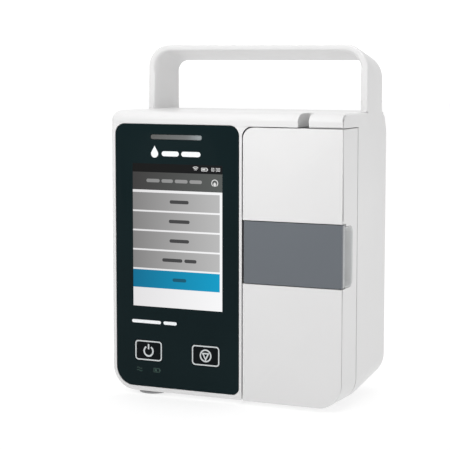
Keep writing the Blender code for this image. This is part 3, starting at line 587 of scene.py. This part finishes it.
LIT_BLACK = display_light("lit_black", (0.004, 0.004, 0.004), (0.004, 0.005, 0.006))
LIT_HEADER = display_light("lit_header", (0.046, 0.044, 0.044), (0.098, 0.106, 0.102))
LIT_ITEM = display_light("lit_item", (0.22, 0.215, 0.215), (0.50, 0.50, 0.50))
LIT_WHITE = display_light("lit_white", (0.76, 0.75, 0.76), (0.93, 0.93, 0.94))
LIT_BLUE = display_light("lit_blue", (0.0, 0.150, 0.280), (0.0, 0.335, 0.575))
LIT_TEXT = display_light("lit_text", (0.045, 0.045, 0.047), (0.065, 0.065, 0.068))
LIT_NAVY = display_light("lit_navy", (0.004, 0.075, 0.130), (0.006, 0.115, 0.190))
LIT_SOFT = display_light("lit_soft", (0.24, 0.24, 0.24), (0.34, 0.34, 0.34))
LIT_PALE = display_light("lit_pale", (0.55, 0.55, 0.55), (0.75, 0.75, 0.75))


# ---------------------------------------------------------------- housing

def underside(d):
    """Height of the body's underside, which rises towards the back."""
    return BODY_BOTTOM + KEEL_SLOPE * max(0.0, d - KEEL_START)


def smooth_step(value, low, high):
    share = min(1.0, max(0.0, (value - low) / (high - low)))
    return share * share * (3.0 - 2.0 * share)


def shoulder(z, d):
    """How far the sides lean in on their way up; they start lower under the handle's arms."""
    low = FLARE_LOW - FLARE_SINK * smooth_step(d, BAY_FLOOR, ARCH_FRONT)
    return (HALF - ARCH_HALF) * smooth_step(z, low, low + FLARE_RISE)


def body_outline(d, inset=0.0, steps=16):
    """Outline of the body at one depth, pulled in by the wall when inset is given."""
    side = HALF - round_in(d, FRONT_EDGE_R) - round_in(DEPTH - d, REAR_SIDE_R) - inset
    low = underside(d) + round_in(d, FRONT_EDGE_R) + round_in(DEPTH - d, REAR_LOW_R) + inset
    top_edges = round_in(d, LIP_REACH, LIP_RISE), round_in(DEPTH - d, REAR_TOP_R)
    high = BODY_TOP - top_edges[0] - top_edges[1] - inset
    lower_r = CORNER_R - inset
    radii = (lower_r, lower_r, TOP_CORNER_R, TOP_CORNER_R)
    corners = rounded(-side, side, low, high, radii, steps)
    rows = [high - TOP_CORNER_R - drop for drop in SIDE_ROWS]
    half_way = 2 * (steps + 1)
    outline = corners[:half_way] + [(side, z) for z in rows]
    outline += corners[half_way:] + [(-side, z) for z in rows[::-1]]
    return [(x - math.copysign(shoulder(z, d), x), z) for x, z in outline]


def body_solid():
    depths = ease_stations(0.0, LIP_REACH, 14) + ease_stations(0.0, FRONT_EDGE_R, 4)[1:]
    depths += ease_stations(DEPTH, REAR_TOP_R, 12, True)
    depths += ease_stations(DEPTH, REAR_SIDE_R, 8, True)[1:]
    depths += [KEEL_START, BAY_FLOOR, *FLARE_STATIONS, ARCH_FRONT]
    stations = sorted(set(round(d, 3) for d in depths))
    return loft([[(x, d, z) for x, z in body_outline(d)] for d in stations])


def cavity_solid(front, back):
    """The hollow inside the walls; build_housing cuts its right front part away where the bay is.
    """
    turn = DEPTH - REAR_TOP_R
    depths = [front, KEEL_START, turn, (turn + back) / 2, back]
    return loft([[(x, d, z) for x, z in body_outline(d, WALL, 8)] for d in depths])


def arch_paths(share):
    """Outer and inner line of the handle arch, from 0 at its front face to 1 at its back face."""
    top = HANDLE_TOP - ARCH_DROP * share
    under = top - ARCH_THICK
    inner = ARCH_HALF - ARCH_ARM - ARCH_LEAN * share
    inner_r = ARCH_INNER_R + (ARCH_INNER_R_BACK - ARCH_INNER_R) * share
    steps = 12
    outer_leg, inner_leg = [], []
    for i in range(steps):
        z = FLARE_LOW + FLARE_RISE * i / steps
        outer_leg.append((HALF - SUNK - shoulder(z, ARCH_FRONT), z))
        inner_leg.append((inner, FLARE_LOW + (under - inner_r - FLARE_LOW) * i / steps))
    outer_centre = (ARCH_HALF - ARCH_OUTER_R, top - ARCH_OUTER_R)
    inner_centre = (inner - inner_r, under - inner_r)
    outer = outer_leg + arc(outer_centre, ARCH_OUTER_R, 0.0, 90.0, 18)
    inside = inner_leg + arc(inner_centre, inner_r, 0.0, 90.0, 18)
    return [line + [(-x, z) for x, z in line[::-1]] for line in (outer, inside)]


def arch_solid():
    """The handle as a band with four rounded edges, swept from one foot to the other."""
    front_out, front_in = arch_paths(0.0)
    back_out, back_in = arch_paths(1.0)
    under = HANDLE_TOP - ARCH_THICK
    rounds = 6
    loops = []
    for outline in zip(front_out, back_out, back_in, front_in):
        depths = (ARCH_FRONT, ARCH_BACK, ARCH_BACK, ARCH_FRONT)
        corners = [Vector((x, d, z)) for (x, z), d in zip(outline, depths)]
        leg = min(1.0, (under - corners[3].z) / ARCH_INNER_R)
        reaches = [(ARCH_EDGE_R, ARCH_EDGE_R)] * 3
        reaches.append((ARCH_EDGE_R + ARCH_PALM_R * leg, ARCH_EDGE_R + ARCH_PALM_SIDE * leg))
        loop = []
        for i, (corner, (reach_before, reach_after)) in enumerate(zip(corners, reaches)):
            before = (corners[i - 1] - corner).normalized() * reach_before
            after = (corners[(i + 1) % 4] - corner).normalized() * reach_after
            for step in range(rounds + 1):
                angle = math.radians(90.0 * step / rounds)
                turn = (1.0 - math.sin(angle)) * before, (1.0 - math.cos(angle)) * after
                loop.append(corner + turn[0] + turn[1])
        loops.append(loop)
    return loft(loops)


def hinge_clearance():
    """Space round the hinge axis that the door's left edge sweeps as it opens."""
    high = DOOR[5] + SEAM
    reach = SWING_CORNER_R
    edge = HINGE[0] - DOOR[0] + SEAM
    profile = [(math.hypot(edge, HINGE[1]), BODY_BOTTOM - FAR_PAST)]
    steps = 12
    for i in range(steps + 1):
        angle = math.radians(90.0 * i / steps)
        side = edge - reach * (1.0 - math.cos(angle))
        profile.append((math.hypot(side, HINGE[1]), high - reach + reach * math.sin(angle)))
    return turned(profile, HINGE, 96)


def lip_line():
    """Fine groove round the right end of the lip, in line with the one round the door."""
    outer, inner = [], []
    for degrees in range(0, 66, 5):
        along, up = math.cos(math.radians(degrees)), math.sin(math.radians(degrees))
        for line, inset in ((outer, GROOVE_START), (inner, GROOVE_END)):
            d = LIP_REACH - (LIP_REACH - inset) * along
            line.append((d, BODY_TOP - LIP_RISE + (LIP_RISE - inset) * up))
    return [(GROOVE_START, DOOR[5])] + outer + inner[::-1] + [(GROOVE_END, DOOR[5])]


def lip_undercut():
    """Cutter that leans the lip's front face back towards the seam, along the whole front."""
    profile = [(d, BODY_TOP - LIP_RISE - drop) for d, drop in UNDERCUT]
    return prism(profile, -HALF - PAST, HALF + PAST, "x")


def key_outline(key):
    """Outline of the opening round a key."""
    return rounded(*grown(face(key), GAP), KEY_R + GAP)


def build_housing():
    housing = make("housing", body_solid(), WHITE)
    join(housing, arch_solid())
    inside = make("inside", cavity_solid(FRONT_WALL, DEPTH - REAR_WALL))
    right, bay_high, above = HALF + FAR_PAST, DOOR[5] + SEAM, 190.0
    cut(inside, box(BAY_LEFT - WALL, right, 0.0, BAY_FLOOR + WALL, -FAR_PAST, above))
    combine_objects(housing, "DIFFERENCE", [inside])
    key_holes = [prism(key_outline(key), PAST, FRONT_WALL + PAST) for key in KEYS]
    low_x, high_x, low_z, high_z = MECHANISM_OPENING
    cut(
        housing,
        prism(rounded(*grown(PANEL, 0.2), PANEL_RADII), -PAST, PANEL_BACK + GAP),
        prism(rounded(*grown(SCREEN, 0.5), 1.0), PAST, FRONT_WALL + PAST),
        *key_holes,
        hinge_clearance(),
        box(HINGE[0], right, -FAR_PAST, BAY_FLOOR, -FAR_PAST, bay_high),
        box(BAY_LEFT, right, HINGE[1], BAY_FLOOR, -FAR_PAST, bay_high),
        box(low_x, high_x, BAY_FLOOR - PAST, BAY_FLOOR + WALL + PAST, low_z, high_z),
        box(*TUBE_SLOT[:2], -PAST, TUBE_SLOT[2], TUBE_SLOT_LOW, BODY_TOP + PAST),
        prism(rounded(*REAR_OPENING, REAR_OPENING_R), REAR_OPENING_FRONT, DEPTH + PAST),
        prism(rounded(*grown(COVER, GAP), COVER_R), COVER_FRONT - GAP, DEPTH + PAST),
        prism(lip_line(), HALF - LIP_GROOVE, HALF + PAST, "x"),
        lip_undercut(),
    )
    soften(housing, 0.25)
    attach(housing, "pump")
    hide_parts("main_housing")


build_housing()


# ---------------------------------------------------------------- display side

PRINT = 0.03
BASE_LAYER = (-0.02, 0.01)
BACK_LAYER = (-0.04, -0.02)
TEXT_LAYER = (-0.06, -0.04)


def build_panel():
    panel = make("cover_glass", plate(PANEL, PANEL_RADII, 0.0, PANEL_BACK, 0.25), GLASS)
    holes = [prism(key_outline(key), -PAST, 3.0) for key in KEYS]
    holes.append(prism(rounded(*grown(ALARM, 0.1), ALARM_R + 0.1), -PAST, 3.0))
    cut(panel, *holes)
    soften(panel, 0.12, 2)
    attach(panel, "pump")
    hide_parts("front_panel", "ac_lamp", "battery_lamp")
    guide = make("alarm_bar", plate(ALARM, (ALARM_R,) * 4, -0.05, 3.0, 0.4), GUIDE)
    soften(guide)
    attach(guide, "pump")
    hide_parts("alarm_light")


def ring(outer, inner, front, back):
    """Closed band between two outlines with the same number of points."""
    bm = bmesh.new()
    loops = [
        [bm.verts.new((x, front, z)) for x, z in outer],
        [bm.verts.new((x, back, z)) for x, z in outer],
        [bm.verts.new((x, back, z)) for x, z in inner],
        [bm.verts.new((x, front, z)) for x, z in inner],
    ]
    count = len(outer)
    for a, b in zip(loops, loops[1:] + loops[:1]):
        for i in range(count):
            j = (i + 1) % count
            bm.faces.new((a[i], a[j], b[j], b[i]))
    return bm


def stroke(points, width, front, back):
    """Closed flat band of constant width along an open line."""
    left, right = [], []
    for i, (x, z) in enumerate(points):
        before = points[max(i - 1, 0)]
        after = points[min(i + 1, len(points) - 1)]
        along = Vector((after[0] - before[0], after[1] - before[1])).normalized()
        left.append((x - along.y * width / 2, z + along.x * width / 2))
        right.append((x + along.y * width / 2, z - along.x * width / 2))
    return prism(left + right[::-1], front, back)


def merged(name, parts):
    """One object from several (mesh, material) pairs."""
    materials = []
    whole = bmesh.new()
    for bm, material in parts:
        if material not in materials:
            materials.append(material)
        bmesh.ops.recalc_face_normals(bm, faces=bm.faces[:])
        for item in bm.faces:
            item.material_index = materials.index(material)
        holder = bpy.data.meshes.new("part")
        bm.to_mesh(holder)
        bm.free()
        whole.from_mesh(holder)
        bpy.data.meshes.remove(holder)
    return placed(name, whole, materials)


def bar(x0, x1, z0, z1, front, back, radius=None):
    """Flat bar with round ends, or with corners of the given radius."""
    radius = min(x1 - x0, z1 - z0) / 2 * 0.98 if radius is None else radius
    return prism(rounded(x0, x1, z0, z1, radius, 6), front, back)


def frame_ring(rect, radius, width, inner_radius, steps, front, back):
    """Flat frame just inside a rectangle."""
    outer = rounded(*rect, radius, steps)
    return ring(outer, rounded(*grown(rect, -width), inner_radius, steps), front, back)


def words(x0, z0, height, lengths, space, front, back):
    """Rounded bars that stand for words."""
    parts = []
    x = x0
    for length in lengths:
        parts.append(bar(x, x + length, z0, z0 + height, front, back))
        x += length + space
    return parts


def figures(text, x, z, height, line, front, back):
    """Small seven-segment figures; a line is the width of one segment."""
    width, half = height * 0.52, height / 2
    lit = {"0": "abcdef", "1": "bc", "3": "abgcd"}
    parts = []
    for mark in text:
        right = x + width
        boxes = {
            "a": (x, right, z + height - line, z + height),
            "b": (right - line, right, z + half, z + height),
            "c": (right - line, right, z, z + half),
            "d": (x, right, z, z + line),
            "e": (x, x + line, z, z + half),
            "f": (x, x + line, z + half, z + height),
            "g": (x, right, z + half - line / 2, z + half + line / 2),
        }
        if mark == ":":
            for dot in (z + half * 0.5, z + half * 1.4):
                parts.append(bar(x, x + line, dot, dot + line, front, back, 0.0))
            x += line * 2.4
        else:
            parts += [bar(*boxes[segment], front, back, 0.0) for segment in lit[mark]]
            x += width + line * 1.6
    return parts


def power_symbol(x, z, front, back):
    """Open circle with a bar at its top."""
    half_line = 0.48
    circle_line = arc((x, z - 0.3), 2.9, 122.0, 418.0, 40)
    return [
        stroke(circle_line, 0.95, front, back),
        bar(x - half_line, x + half_line, z + 0.7, z + 3.9, front, back),
    ]


def start_symbol(x, z, front, back):
    """Triangle that points down, inside a circle."""
    outer = [(x - 2.5, z + 1.7), (x, z - 3.1), (x + 2.5, z + 1.7)]
    inner = [(x - 1.15, z + 0.9), (x, z - 1.3), (x + 1.15, z + 0.9)]
    return [
        ring(circle((x, z), 3.75, 48), circle((x, z), 2.9, 48), front, back),
        ring(outer, inner, front, back),
    ]


def build_keys():
    for node, symbol in zip(KEYS, (power_symbol, start_symbol)):
        rect = face(node)
        front, back = span(node)[2:4]
        cap = make(node + "_cap", plate(rect, (KEY_R,) * 4, front, back, 0.4), KEY_BLACK)
        soften(cap)
        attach(cap, node)
        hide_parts(node)
        ink_front, ink_back = front - PRINT, front + SUNK
        edge = grown(rect, -0.15)
        shapes = [frame_ring(edge, KEY_R, 0.75, KEY_R - 0.65, 10, ink_front, ink_back)]
        shapes += symbol(*middle(node), ink_front, ink_back)
        marks = merged(node + "_print", [(shape, INK_KEY) for shape in shapes])
        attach(marks, node)


def picture_frame():
    """Bounds of the lit picture: left, right, low and high."""
    x0, x1, z0, z1 = SCREEN
    return x0 + 1.0, x1 - 1.0, z0 + 1.5, z1 - 0.5


def display_rows(left, right, top):
    """Five menu rows, the last one marked, each with bars for its words."""
    height, gap, space = 11.3, 1.0, 1.3
    lengths_of_rows = ((12.2,), (13.4,), (12.6,), (13.0, 7.8), (8.9,))
    last = len(lengths_of_rows) - 1
    parts = []
    for row, lengths in enumerate(lengths_of_rows):
        row_top = top - row * height
        row_low = row_top - height + gap * (0.8 if row == last else 1.0)
        back_light, text_light = (LIT_BLUE, LIT_NAVY) if row == last else (LIT_ITEM, LIT_TEXT)
        parts.append((bar(left, right - 1.6, row_low, row_top, *BACK_LAYER, 0.0), back_light))
        total = sum(lengths) + space * (len(lengths) - 1)
        start = (left + right) / 2 + 1.4 - total / 2
        low = (row_low + row_top) / 2 - 0.9
        shapes = words(start, low, 2.0, lengths, space, *TEXT_LAYER)
        parts += [(shape, text_light) for shape in shapes]
    return parts


def home_icon(x, z):
    """Small house in an open circle."""
    half_roof, half_wall, eaves, ground = 1.15, 0.75, z - 0.6, z - 1.8
    roof = [(x - half_roof, eaves), (x + half_roof, eaves), (x, z + 0.6)]
    return [
        stroke(arc((x, z), 1.9, -55.0, 235.0, 32), 0.5, *TEXT_LAYER),
        prism(roof, *TEXT_LAYER),
        bar(x - half_wall, x + half_wall, ground, eaves, *TEXT_LAYER, 0.0),
    ]


def status_icons(right, z):
    """Radio waves, a battery and the time, from left to right."""
    waves = (right - 16.8, z - 1.2)
    shapes = [stroke(arc(waves, r, 50.0, 130.0, 12), 0.42, *TEXT_LAYER) for r in (1.0, 1.8, 2.6)]
    cell = (right - 13.2, right - 9.4, z - 1.0, z + 1.0)
    fill = (cell[0] + 0.6, cell[0] + 2.6, cell[2] + 0.6, cell[3] - 0.6)
    shapes.append(frame_ring(cell, 0.4, 0.35, 0.2, 3, *TEXT_LAYER))
    shapes.append(bar(*fill, *TEXT_LAYER, 0.0))
    shapes.append(bar(cell[1], cell[1] + 0.4, z - 0.5, z + 0.5, *TEXT_LAYER, 0.0))
    return shapes + figures("10:30", right - 7.6, z - 0.9, 2.0, 0.28, *TEXT_LAYER)


def build_display():
    """The lit picture, in layers a few hundredths of a millimetre apart."""
    left, right, low, high = picture_frame()
    status_low = high - 4.9
    header_low = status_low - 10.3
    header_middle = (header_low + status_low) / 2
    over = 0.05
    parts = [
        (bar(left, right, low, high, *BASE_LAYER, 0.0), LIT_WHITE),
        (bar(left - over, right + over, status_low, high + over, *BACK_LAYER, 0.0), LIT_BLACK),
        (bar(left, right, header_low, status_low, *BACK_LAYER, 0.0), LIT_HEADER),
    ]
    parts += display_rows(left, right, header_low - 1.5)
    title = words(left + 9.0, header_middle - 0.7, 2.0, (8.6, 7.4, 8.2, 7.9), 1.2, *TEXT_LAYER)
    parts += [(shape, LIT_SOFT) for shape in title]
    icons = home_icon(right - 4.7, header_middle)
    icons += status_icons(right, (status_low + high) / 2)
    parts += [(shape, LIT_PALE) for shape in icons]
    picture = merged("display_picture", parts)
    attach(picture, "pump")
    polish("lcd_module", BLACK, 0.2)


def lamp_symbols(front, back):
    """Two waves beside the mains lamp's place and a battery beside the other's."""
    x, z = middle("ac_lamp")
    shapes = []
    for side in (-1, 1):
        wave = []
        for i in range(13):
            wave.append((x - 1.8 + 0.3 * i, z + side * 0.75 + 0.35 * math.sin(i * math.pi / 6)))
        shapes.append(stroke(wave, 0.4, front, back))
    x, z = middle("battery_lamp")
    cell = (x - 2.2, x + 1.9, z - 1.3, z + 1.3)
    low, high = z - 0.6, z + 0.6
    shapes.append(frame_ring(cell, 0.4, 0.45, 0.2, 4, front, back))
    shapes.append(bar(cell[1], cell[1] + 0.6, low, high, front, back, 0.0))
    shapes.append(bar(cell[0] + 0.9, cell[0] + 2.3, low, high, front, back, 0.0))
    return shapes


def build_panel_print():
    """Generic marks in place of the maker's: a drop with plain bars, and the two lamp symbols."""
    front, back = -PRINT, 0.01
    left, low = ALARM[0], 139.6
    drop, drop_r = (left + 2.6, low + 2.2), 2.3
    outline = arc(drop, drop_r, 150.0, 390.0, 24) + [(drop[0], drop[1] + 2.0 * drop_r)]
    white = [prism(outline, front, back)]
    white += words(left + 7.2, low + 0.9, 2.9, (11.0, 12.2), 1.6, front, back)
    white += words(SCREEN[0], 42.4, 1.9, (19.0, 8.6), 1.7, front, back)
    parts = [(shape, INK_WHITE) for shape in white]
    parts += [(shape, INK_GREEN) for shape in lamp_symbols(front, back)]
    marks = merged("panel_print", parts)
    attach(marks, "pump")


build_panel()
build_keys()
build_display()
build_panel_print()


# ---------------------------------------------------------------- door

def door_loop(d, inset):
    """Front view of the door at one depth: the lower right corner follows the body's."""
    tight = max(0.6 - inset, 0.1)
    radii = (tight, CORNER_R - inset, tight, DOOR_TOP_LEFT_R - inset)
    return [(x, d, z) for x, z in rounded(*grown(face("door_shell"), -inset), radii, 14)]


def build_door():
    back, left = DOOR[3], 0.0
    step_start = back - REAR_STEP
    loops = quarter_round(DOOR_EDGE_R, EDGE_STEPS)
    loops += [(GROOVE_START, 0.0), (GROOVE_START + SUNK, GROOVE)]
    loops += [(GROOVE_END - SUNK, GROOVE), (GROOVE_END, 0.0)]
    loops += [(step_start, 0.0), (step_start + SUNK, REAR_STEP_IN), (back, REAR_STEP_IN)]
    door = make("door_cover", loft([door_loop(d, inset) for d, inset in loops]), WHITE)
    skin_face = grown(face("door_shell"), -DOOR_SKIN)
    low, high = skin_face[2:]
    recess_low, recess_high = LEVER[4] - SEAM, LEVER[5] + SEAM
    right, under, above = HALF + FAR_PAST, -FAR_PAST, 170.0
    cut(
        door,
        prism(rounded(*skin_face, (0.5, CORNER_R - DOOR_SKIN, 0.5, 3.0)), DOOR_SKIN, back + PAST),
        box(left, HINGE[0], HINGE_SIDE_DEPTH, back + PAST, low, high),
        box(left, HINGE[0], DOOR_SKIN, back, low, POCKET_ENDS[0]),
        box(left, HINGE[0], DOOR_SKIN, back, POCKET_ENDS[1], high),
        box(left, HINGE[0] - 2.5, back - 2.5, back + PAST, under, above),
    )
    recess_wall = 2.0
    join(door, box(DOOR[0] + SUNK, DOOR[1] - SUNK, 0.5, RECESS_DEPTH + recess_wall,
                   recess_low - recess_wall, recess_high + recess_wall))
    for knuckle_low in KNUCKLE_LOWS:
        knuckle_high = knuckle_low + KNUCKLE_HEIGHT
        spot = (HINGE[0] - 3.0, HINGE[0] + 3.2, 1.0, HINGE[1] + 2.8)
        knuckle = rounded(*spot, (0.0, 0.0, 2.4, 2.4))
        join(door, prism(knuckle, knuckle_low, knuckle_high, "z"))
        cut(door, rod(HINGE, HINGE_PIN_R + 0.12, knuckle_low - PAST, knuckle_high + PAST))
    tube_low, tube_high = TUBE_X - TUBE_HALF, TUBE_X + TUBE_HALF
    cut(
        door,
        box(left, right, -FAR_PAST, RECESS_DEPTH, recess_low, recess_high),
        prism(cup_outline(GAP), CUP[0] - GAP, right, "x"),
        rod(LEVER_PIVOT, LEVER_BORE_R, recess_low - 1.6, recess_high + 1.6),
        box(tube_low, tube_high, 10.0, back + PAST, under, 10.0),
        box(tube_low, tube_high, DOOR_SKIN, back + PAST, TUBE_SLOT_LOW, above),
    )
    soften(door, 0.2)
    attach(door, "door")
    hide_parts("door_shell")


def cup_outline(grow):
    """Side view of the finger recess; its rear corners are round."""
    radius = CUP_R + grow
    return rounded(*grown(CUP[2:], grow), (0.0, radius, radius, 0.0), 14)


def build_door_fittings():
    cup = make("pull_recess", prism(cup_outline(0.0), CUP[0], CUP[1], "x"), CUP_GREY)
    radius = CUP_R - CUP_SKIN
    low, high = CUP[4] + CUP_SKIN, CUP[5] - CUP_SKIN
    hollow = rounded(0.0, CUP[3] - CUP_SKIN, low, high, (0.0, radius, radius, 0.0), 14)
    cut(cup, prism(hollow, CUP[0] + CUP_FLOOR, HALF + FAR_PAST, "x"))
    soften(cup, 0.1)
    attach(cup, "door")
    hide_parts("finger_recess")

    x0, x1 = LEVER[0], LEVER[1]
    boss = arc(LEVER_PIVOT, LEVER_BOSS_R, 10.0, 190.0, 28)
    outline = [(x0, 0.05), (x1, 0.05), (x1, LEVER_FACE), (x1, LEVER_BACK)]
    outline += [(x1 - 3.0, LEVER_BACK), (x1 - 5.0, 3.0), *boss, (x0, 1.8)]
    lever = make("pull_handle", prism(outline, LEVER[4], LEVER[5], "z"), BAND, LEVER_EDGE)
    cut(lever, rod(LEVER_PIVOT, LEVER_BORE_R, LEVER[4] - PAST, LEVER[5] + PAST))
    face_y = (FRONT_Y + LEVER_FACE) * MM
    for side in lever.data.polygons:
        faces_right = side.normal.x > 0.8
        side.material_index = 1 if faces_right and side.center.y > face_y else 0
    soften(lever, 0.3)
    lever.modifiers["soft_edges"].material = 0
    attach(lever, "handle")
    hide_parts("door_handle")


build_door()
build_door_fittings()


# ---------------------------------------------------------------- CAD nodes that keep their shape

KEPT = (
    (WHITE, ("rear_cover",)),
    (COVER_GREY, ("battery_door",)),
    (ALUMINIUM, ("clamp_plate", "mechanism_frame", "pressure_plate")),
    (BLACK, ("ac_inlet", "data_port", "speaker", "bubble_sensor")),
    (BOARD, ("main_board", "power_supply")),
    (BATTERY, ("battery_pack",)),
    (SILICONE, ("key_mat", "finger_membrane")),
    (CHASSIS_GREY, ("pump_chassis",)),
    (BLUE, ("free_flow_clamp",)),
    (BRASS, ("motor_pinion",)),
    (MOTOR, ("stepper_motor",)),
    (NYLON, ("camshaft_gear", *(f"finger_{number}" for number in range(1, 9)))),
    (RUBBER, [f"foot_{number}" for number in range(1, 5)]),
    (STEEL, (
        "upstream_sensor", "downstream_sensor", "camshaft", "motor_shaft", "bearing_low",
        "bearing_high", "door_frame", "latch_bar", "latch_spring", "plate_spring_1",
        "plate_spring_2", "handle_pin", "hinge_pin_low", "hinge_pin_high",
        *(f"cover_screw_{number}" for number in range(1, 5)),
    )),
)
for material, nodes in KEPT:
    for node in nodes:
        polish(node, material)


# ---------------------------------------------------------------- rating label on the back

LABEL_RECT = (-12.0, 52.0, 50.5, 68.5)
LABEL_FILM = 0.12
LABEL_ROWS = ((22.0, 9.0), (12.0, 16.0, 5.0), (8.0, 8.0, 12.0), (26.0,), (10.0, 14.0))
LABEL_STRIPES = (0.35, 0.7, 0.35, 0.35, 0.8, 0.35, 0.6, 0.35, 0.7)


def build_rating_label():
    """Film label with plain bars for its lines and a framed box of stripes at one end."""
    film = DEPTH + LABEL_FILM
    ink = (film - SUNK, film + PRINT)
    low_x, high_x, low_z, high_z = LABEL_RECT
    shapes = []
    for row, lengths in enumerate(LABEL_ROWS):
        x = high_x - 2.5
        z = high_z - 3.4 - 3.1 * row
        for length in lengths:
            shapes.append(bar(x - length, x, z, z + 1.3, *ink, 0.1))
            x -= length + 1.4
    frame_rect = (low_x + 2.2, low_x + 15.0, low_z + 2.6, high_z - 2.6)
    shapes.append(frame_ring(frame_rect, 0.8, 0.4, 0.4, 4, *ink))
    stripe_low, stripe_high = frame_rect[2] + 1.6, frame_rect[3] - 1.6
    for column, width in enumerate(LABEL_STRIPES):
        x = frame_rect[0] + 1.5 + 1.15 * column
        shapes.append(bar(x, x + width, stripe_low, stripe_high, *ink, 0.0))
    parts = [(prism(rounded(*LABEL_RECT, 1.5), DEPTH - SUNK, film), LABEL)]
    parts += [(shape, INK_DARK) for shape in shapes]
    label = merged("rating_label", parts)
    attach(label, "pump")


build_rating_label()


# ---------------------------------------------------------------- floor, light and camera

FLOOR_GLOW = 0.62


def build_stage():
    """Pale paper floor that glows a little, so that it stays as light as the backdrop."""
    bm = bmesh.new()
    bmesh.ops.create_grid(bm, x_segments=1, y_segments=1, size=6.0)
    mesh = bpy.data.meshes.new("floor")
    bm.to_mesh(mesh)
    bm.free()
    material, tree, shader = new_material("floor_paper")
    tint = ramp(tree, noise(tree, 3.0, 2.0), ((0.3, grey(0.435)), (0.7, grey(0.445))))
    tree.links.new(tint, shader.inputs["Base Color"])
    shader.inputs["Emission Color"].default_value = (1.0, 1.0, 1.0, 1.0)
    shader.inputs["Emission Strength"].default_value = FLOOR_GLOW
    shader.inputs["Roughness"].default_value = 0.9
    shader.inputs["Specular IOR Level"].default_value = 0.1
    mesh.materials.append(material)
    floor = linked("floor", mesh)


def add_area(name, spot, aim, size, power, spread_angle=180.0):
    """Rectangular lamp; places and sizes are in metres."""
    light = bpy.data.lights.new(name, "AREA")
    light.shape = "RECTANGLE"
    light.size, light.size_y = size
    light.energy = power
    light.spread = math.radians(spread_angle)
    lamp = linked(name, light)
    lamp.location = spot
    lamp.rotation_euler = (Vector(aim) - Vector(spot)).to_track_quat("-Z", "Y").to_euler()


def build_light():
    """Soft studio: a bright world, darker on the right and in front, and three lamps."""
    world = bpy.data.worlds.new("studio")
    bpy.context.scene.world = world
    world.use_nodes = True
    tree = world.node_tree
    background = tree.nodes["Background"]
    coords = tree.nodes.new("ShaderNodeTexCoord")
    split = tree.nodes.new("ShaderNodeSeparateXYZ")
    tree.links.new(coords.outputs["Generated"], split.inputs["Vector"])
    stops = ((0.0, grey(1.0)), (0.15, grey(0.93)), (1.0, grey(0.92)))
    height = ramp(tree, split.outputs["Z"], stops)
    side = spread(tree, split.outputs["X"], 0.3, 1.0, 1.0, 0.42)
    left = spread(tree, split.outputs["X"], -1.0, 0.1, 1.08, 1.0)
    front = spread(tree, split.outputs["Y"], -0.9, 0.5, 0.72, 1.13)
    level = front
    for factor in (side, left):
        times = tree.nodes.new("ShaderNodeMath")
        times.operation = "MULTIPLY"
        tree.links.new(level, times.inputs[0])
        tree.links.new(factor, times.inputs[1])
        level = times.outputs["Value"]
    shade = tree.nodes.new("ShaderNodeVectorMath")
    shade.operation = "SCALE"
    tree.links.new(height, shade.inputs[0])
    tree.links.new(level, shade.inputs["Scale"])
    tree.links.new(shade.outputs["Vector"], background.inputs["Color"])
    add_area("key_light", (0.0, -0.38, 0.42), (0.0, 0.0, 0.205), (0.22, 0.22), 0.135, 64.0)
    add_area("side_light", (0.21, -0.03, 0.105), (0.07, 0.0, 0.10), (0.06, 0.06), 0.016, 150.0)
    add_area("top_light", (0.0, -0.1, 1.1), (0.0, 0.0, 0.1), (0.9, 0.9), 1.6)
    bpy.context.scene.view_settings.view_transform = "Standard"


CAMERA_AZIMUTH = 25.09
CAMERA_PITCH = 6.17
CAMERA_SPOT = (0.3725, -0.7934, 0.1972)
LENS = 124.3


def build_camera():
    data = bpy.data.cameras.new("camera")
    data.lens = LENS
    data.sensor_width = 36.0
    camera = linked("camera", data)
    camera.location = (CAMERA_SPOT[0], CAMERA_SPOT[1] + FRONT_Y * MM, CAMERA_SPOT[2])
    pitch, azimuth = math.radians(90.0 - CAMERA_PITCH), math.radians(CAMERA_AZIMUTH)
    camera.rotation_euler = (pitch, 0.0, azimuth)
    bpy.context.scene.camera = camera


build_stage()
build_light()
build_camera()
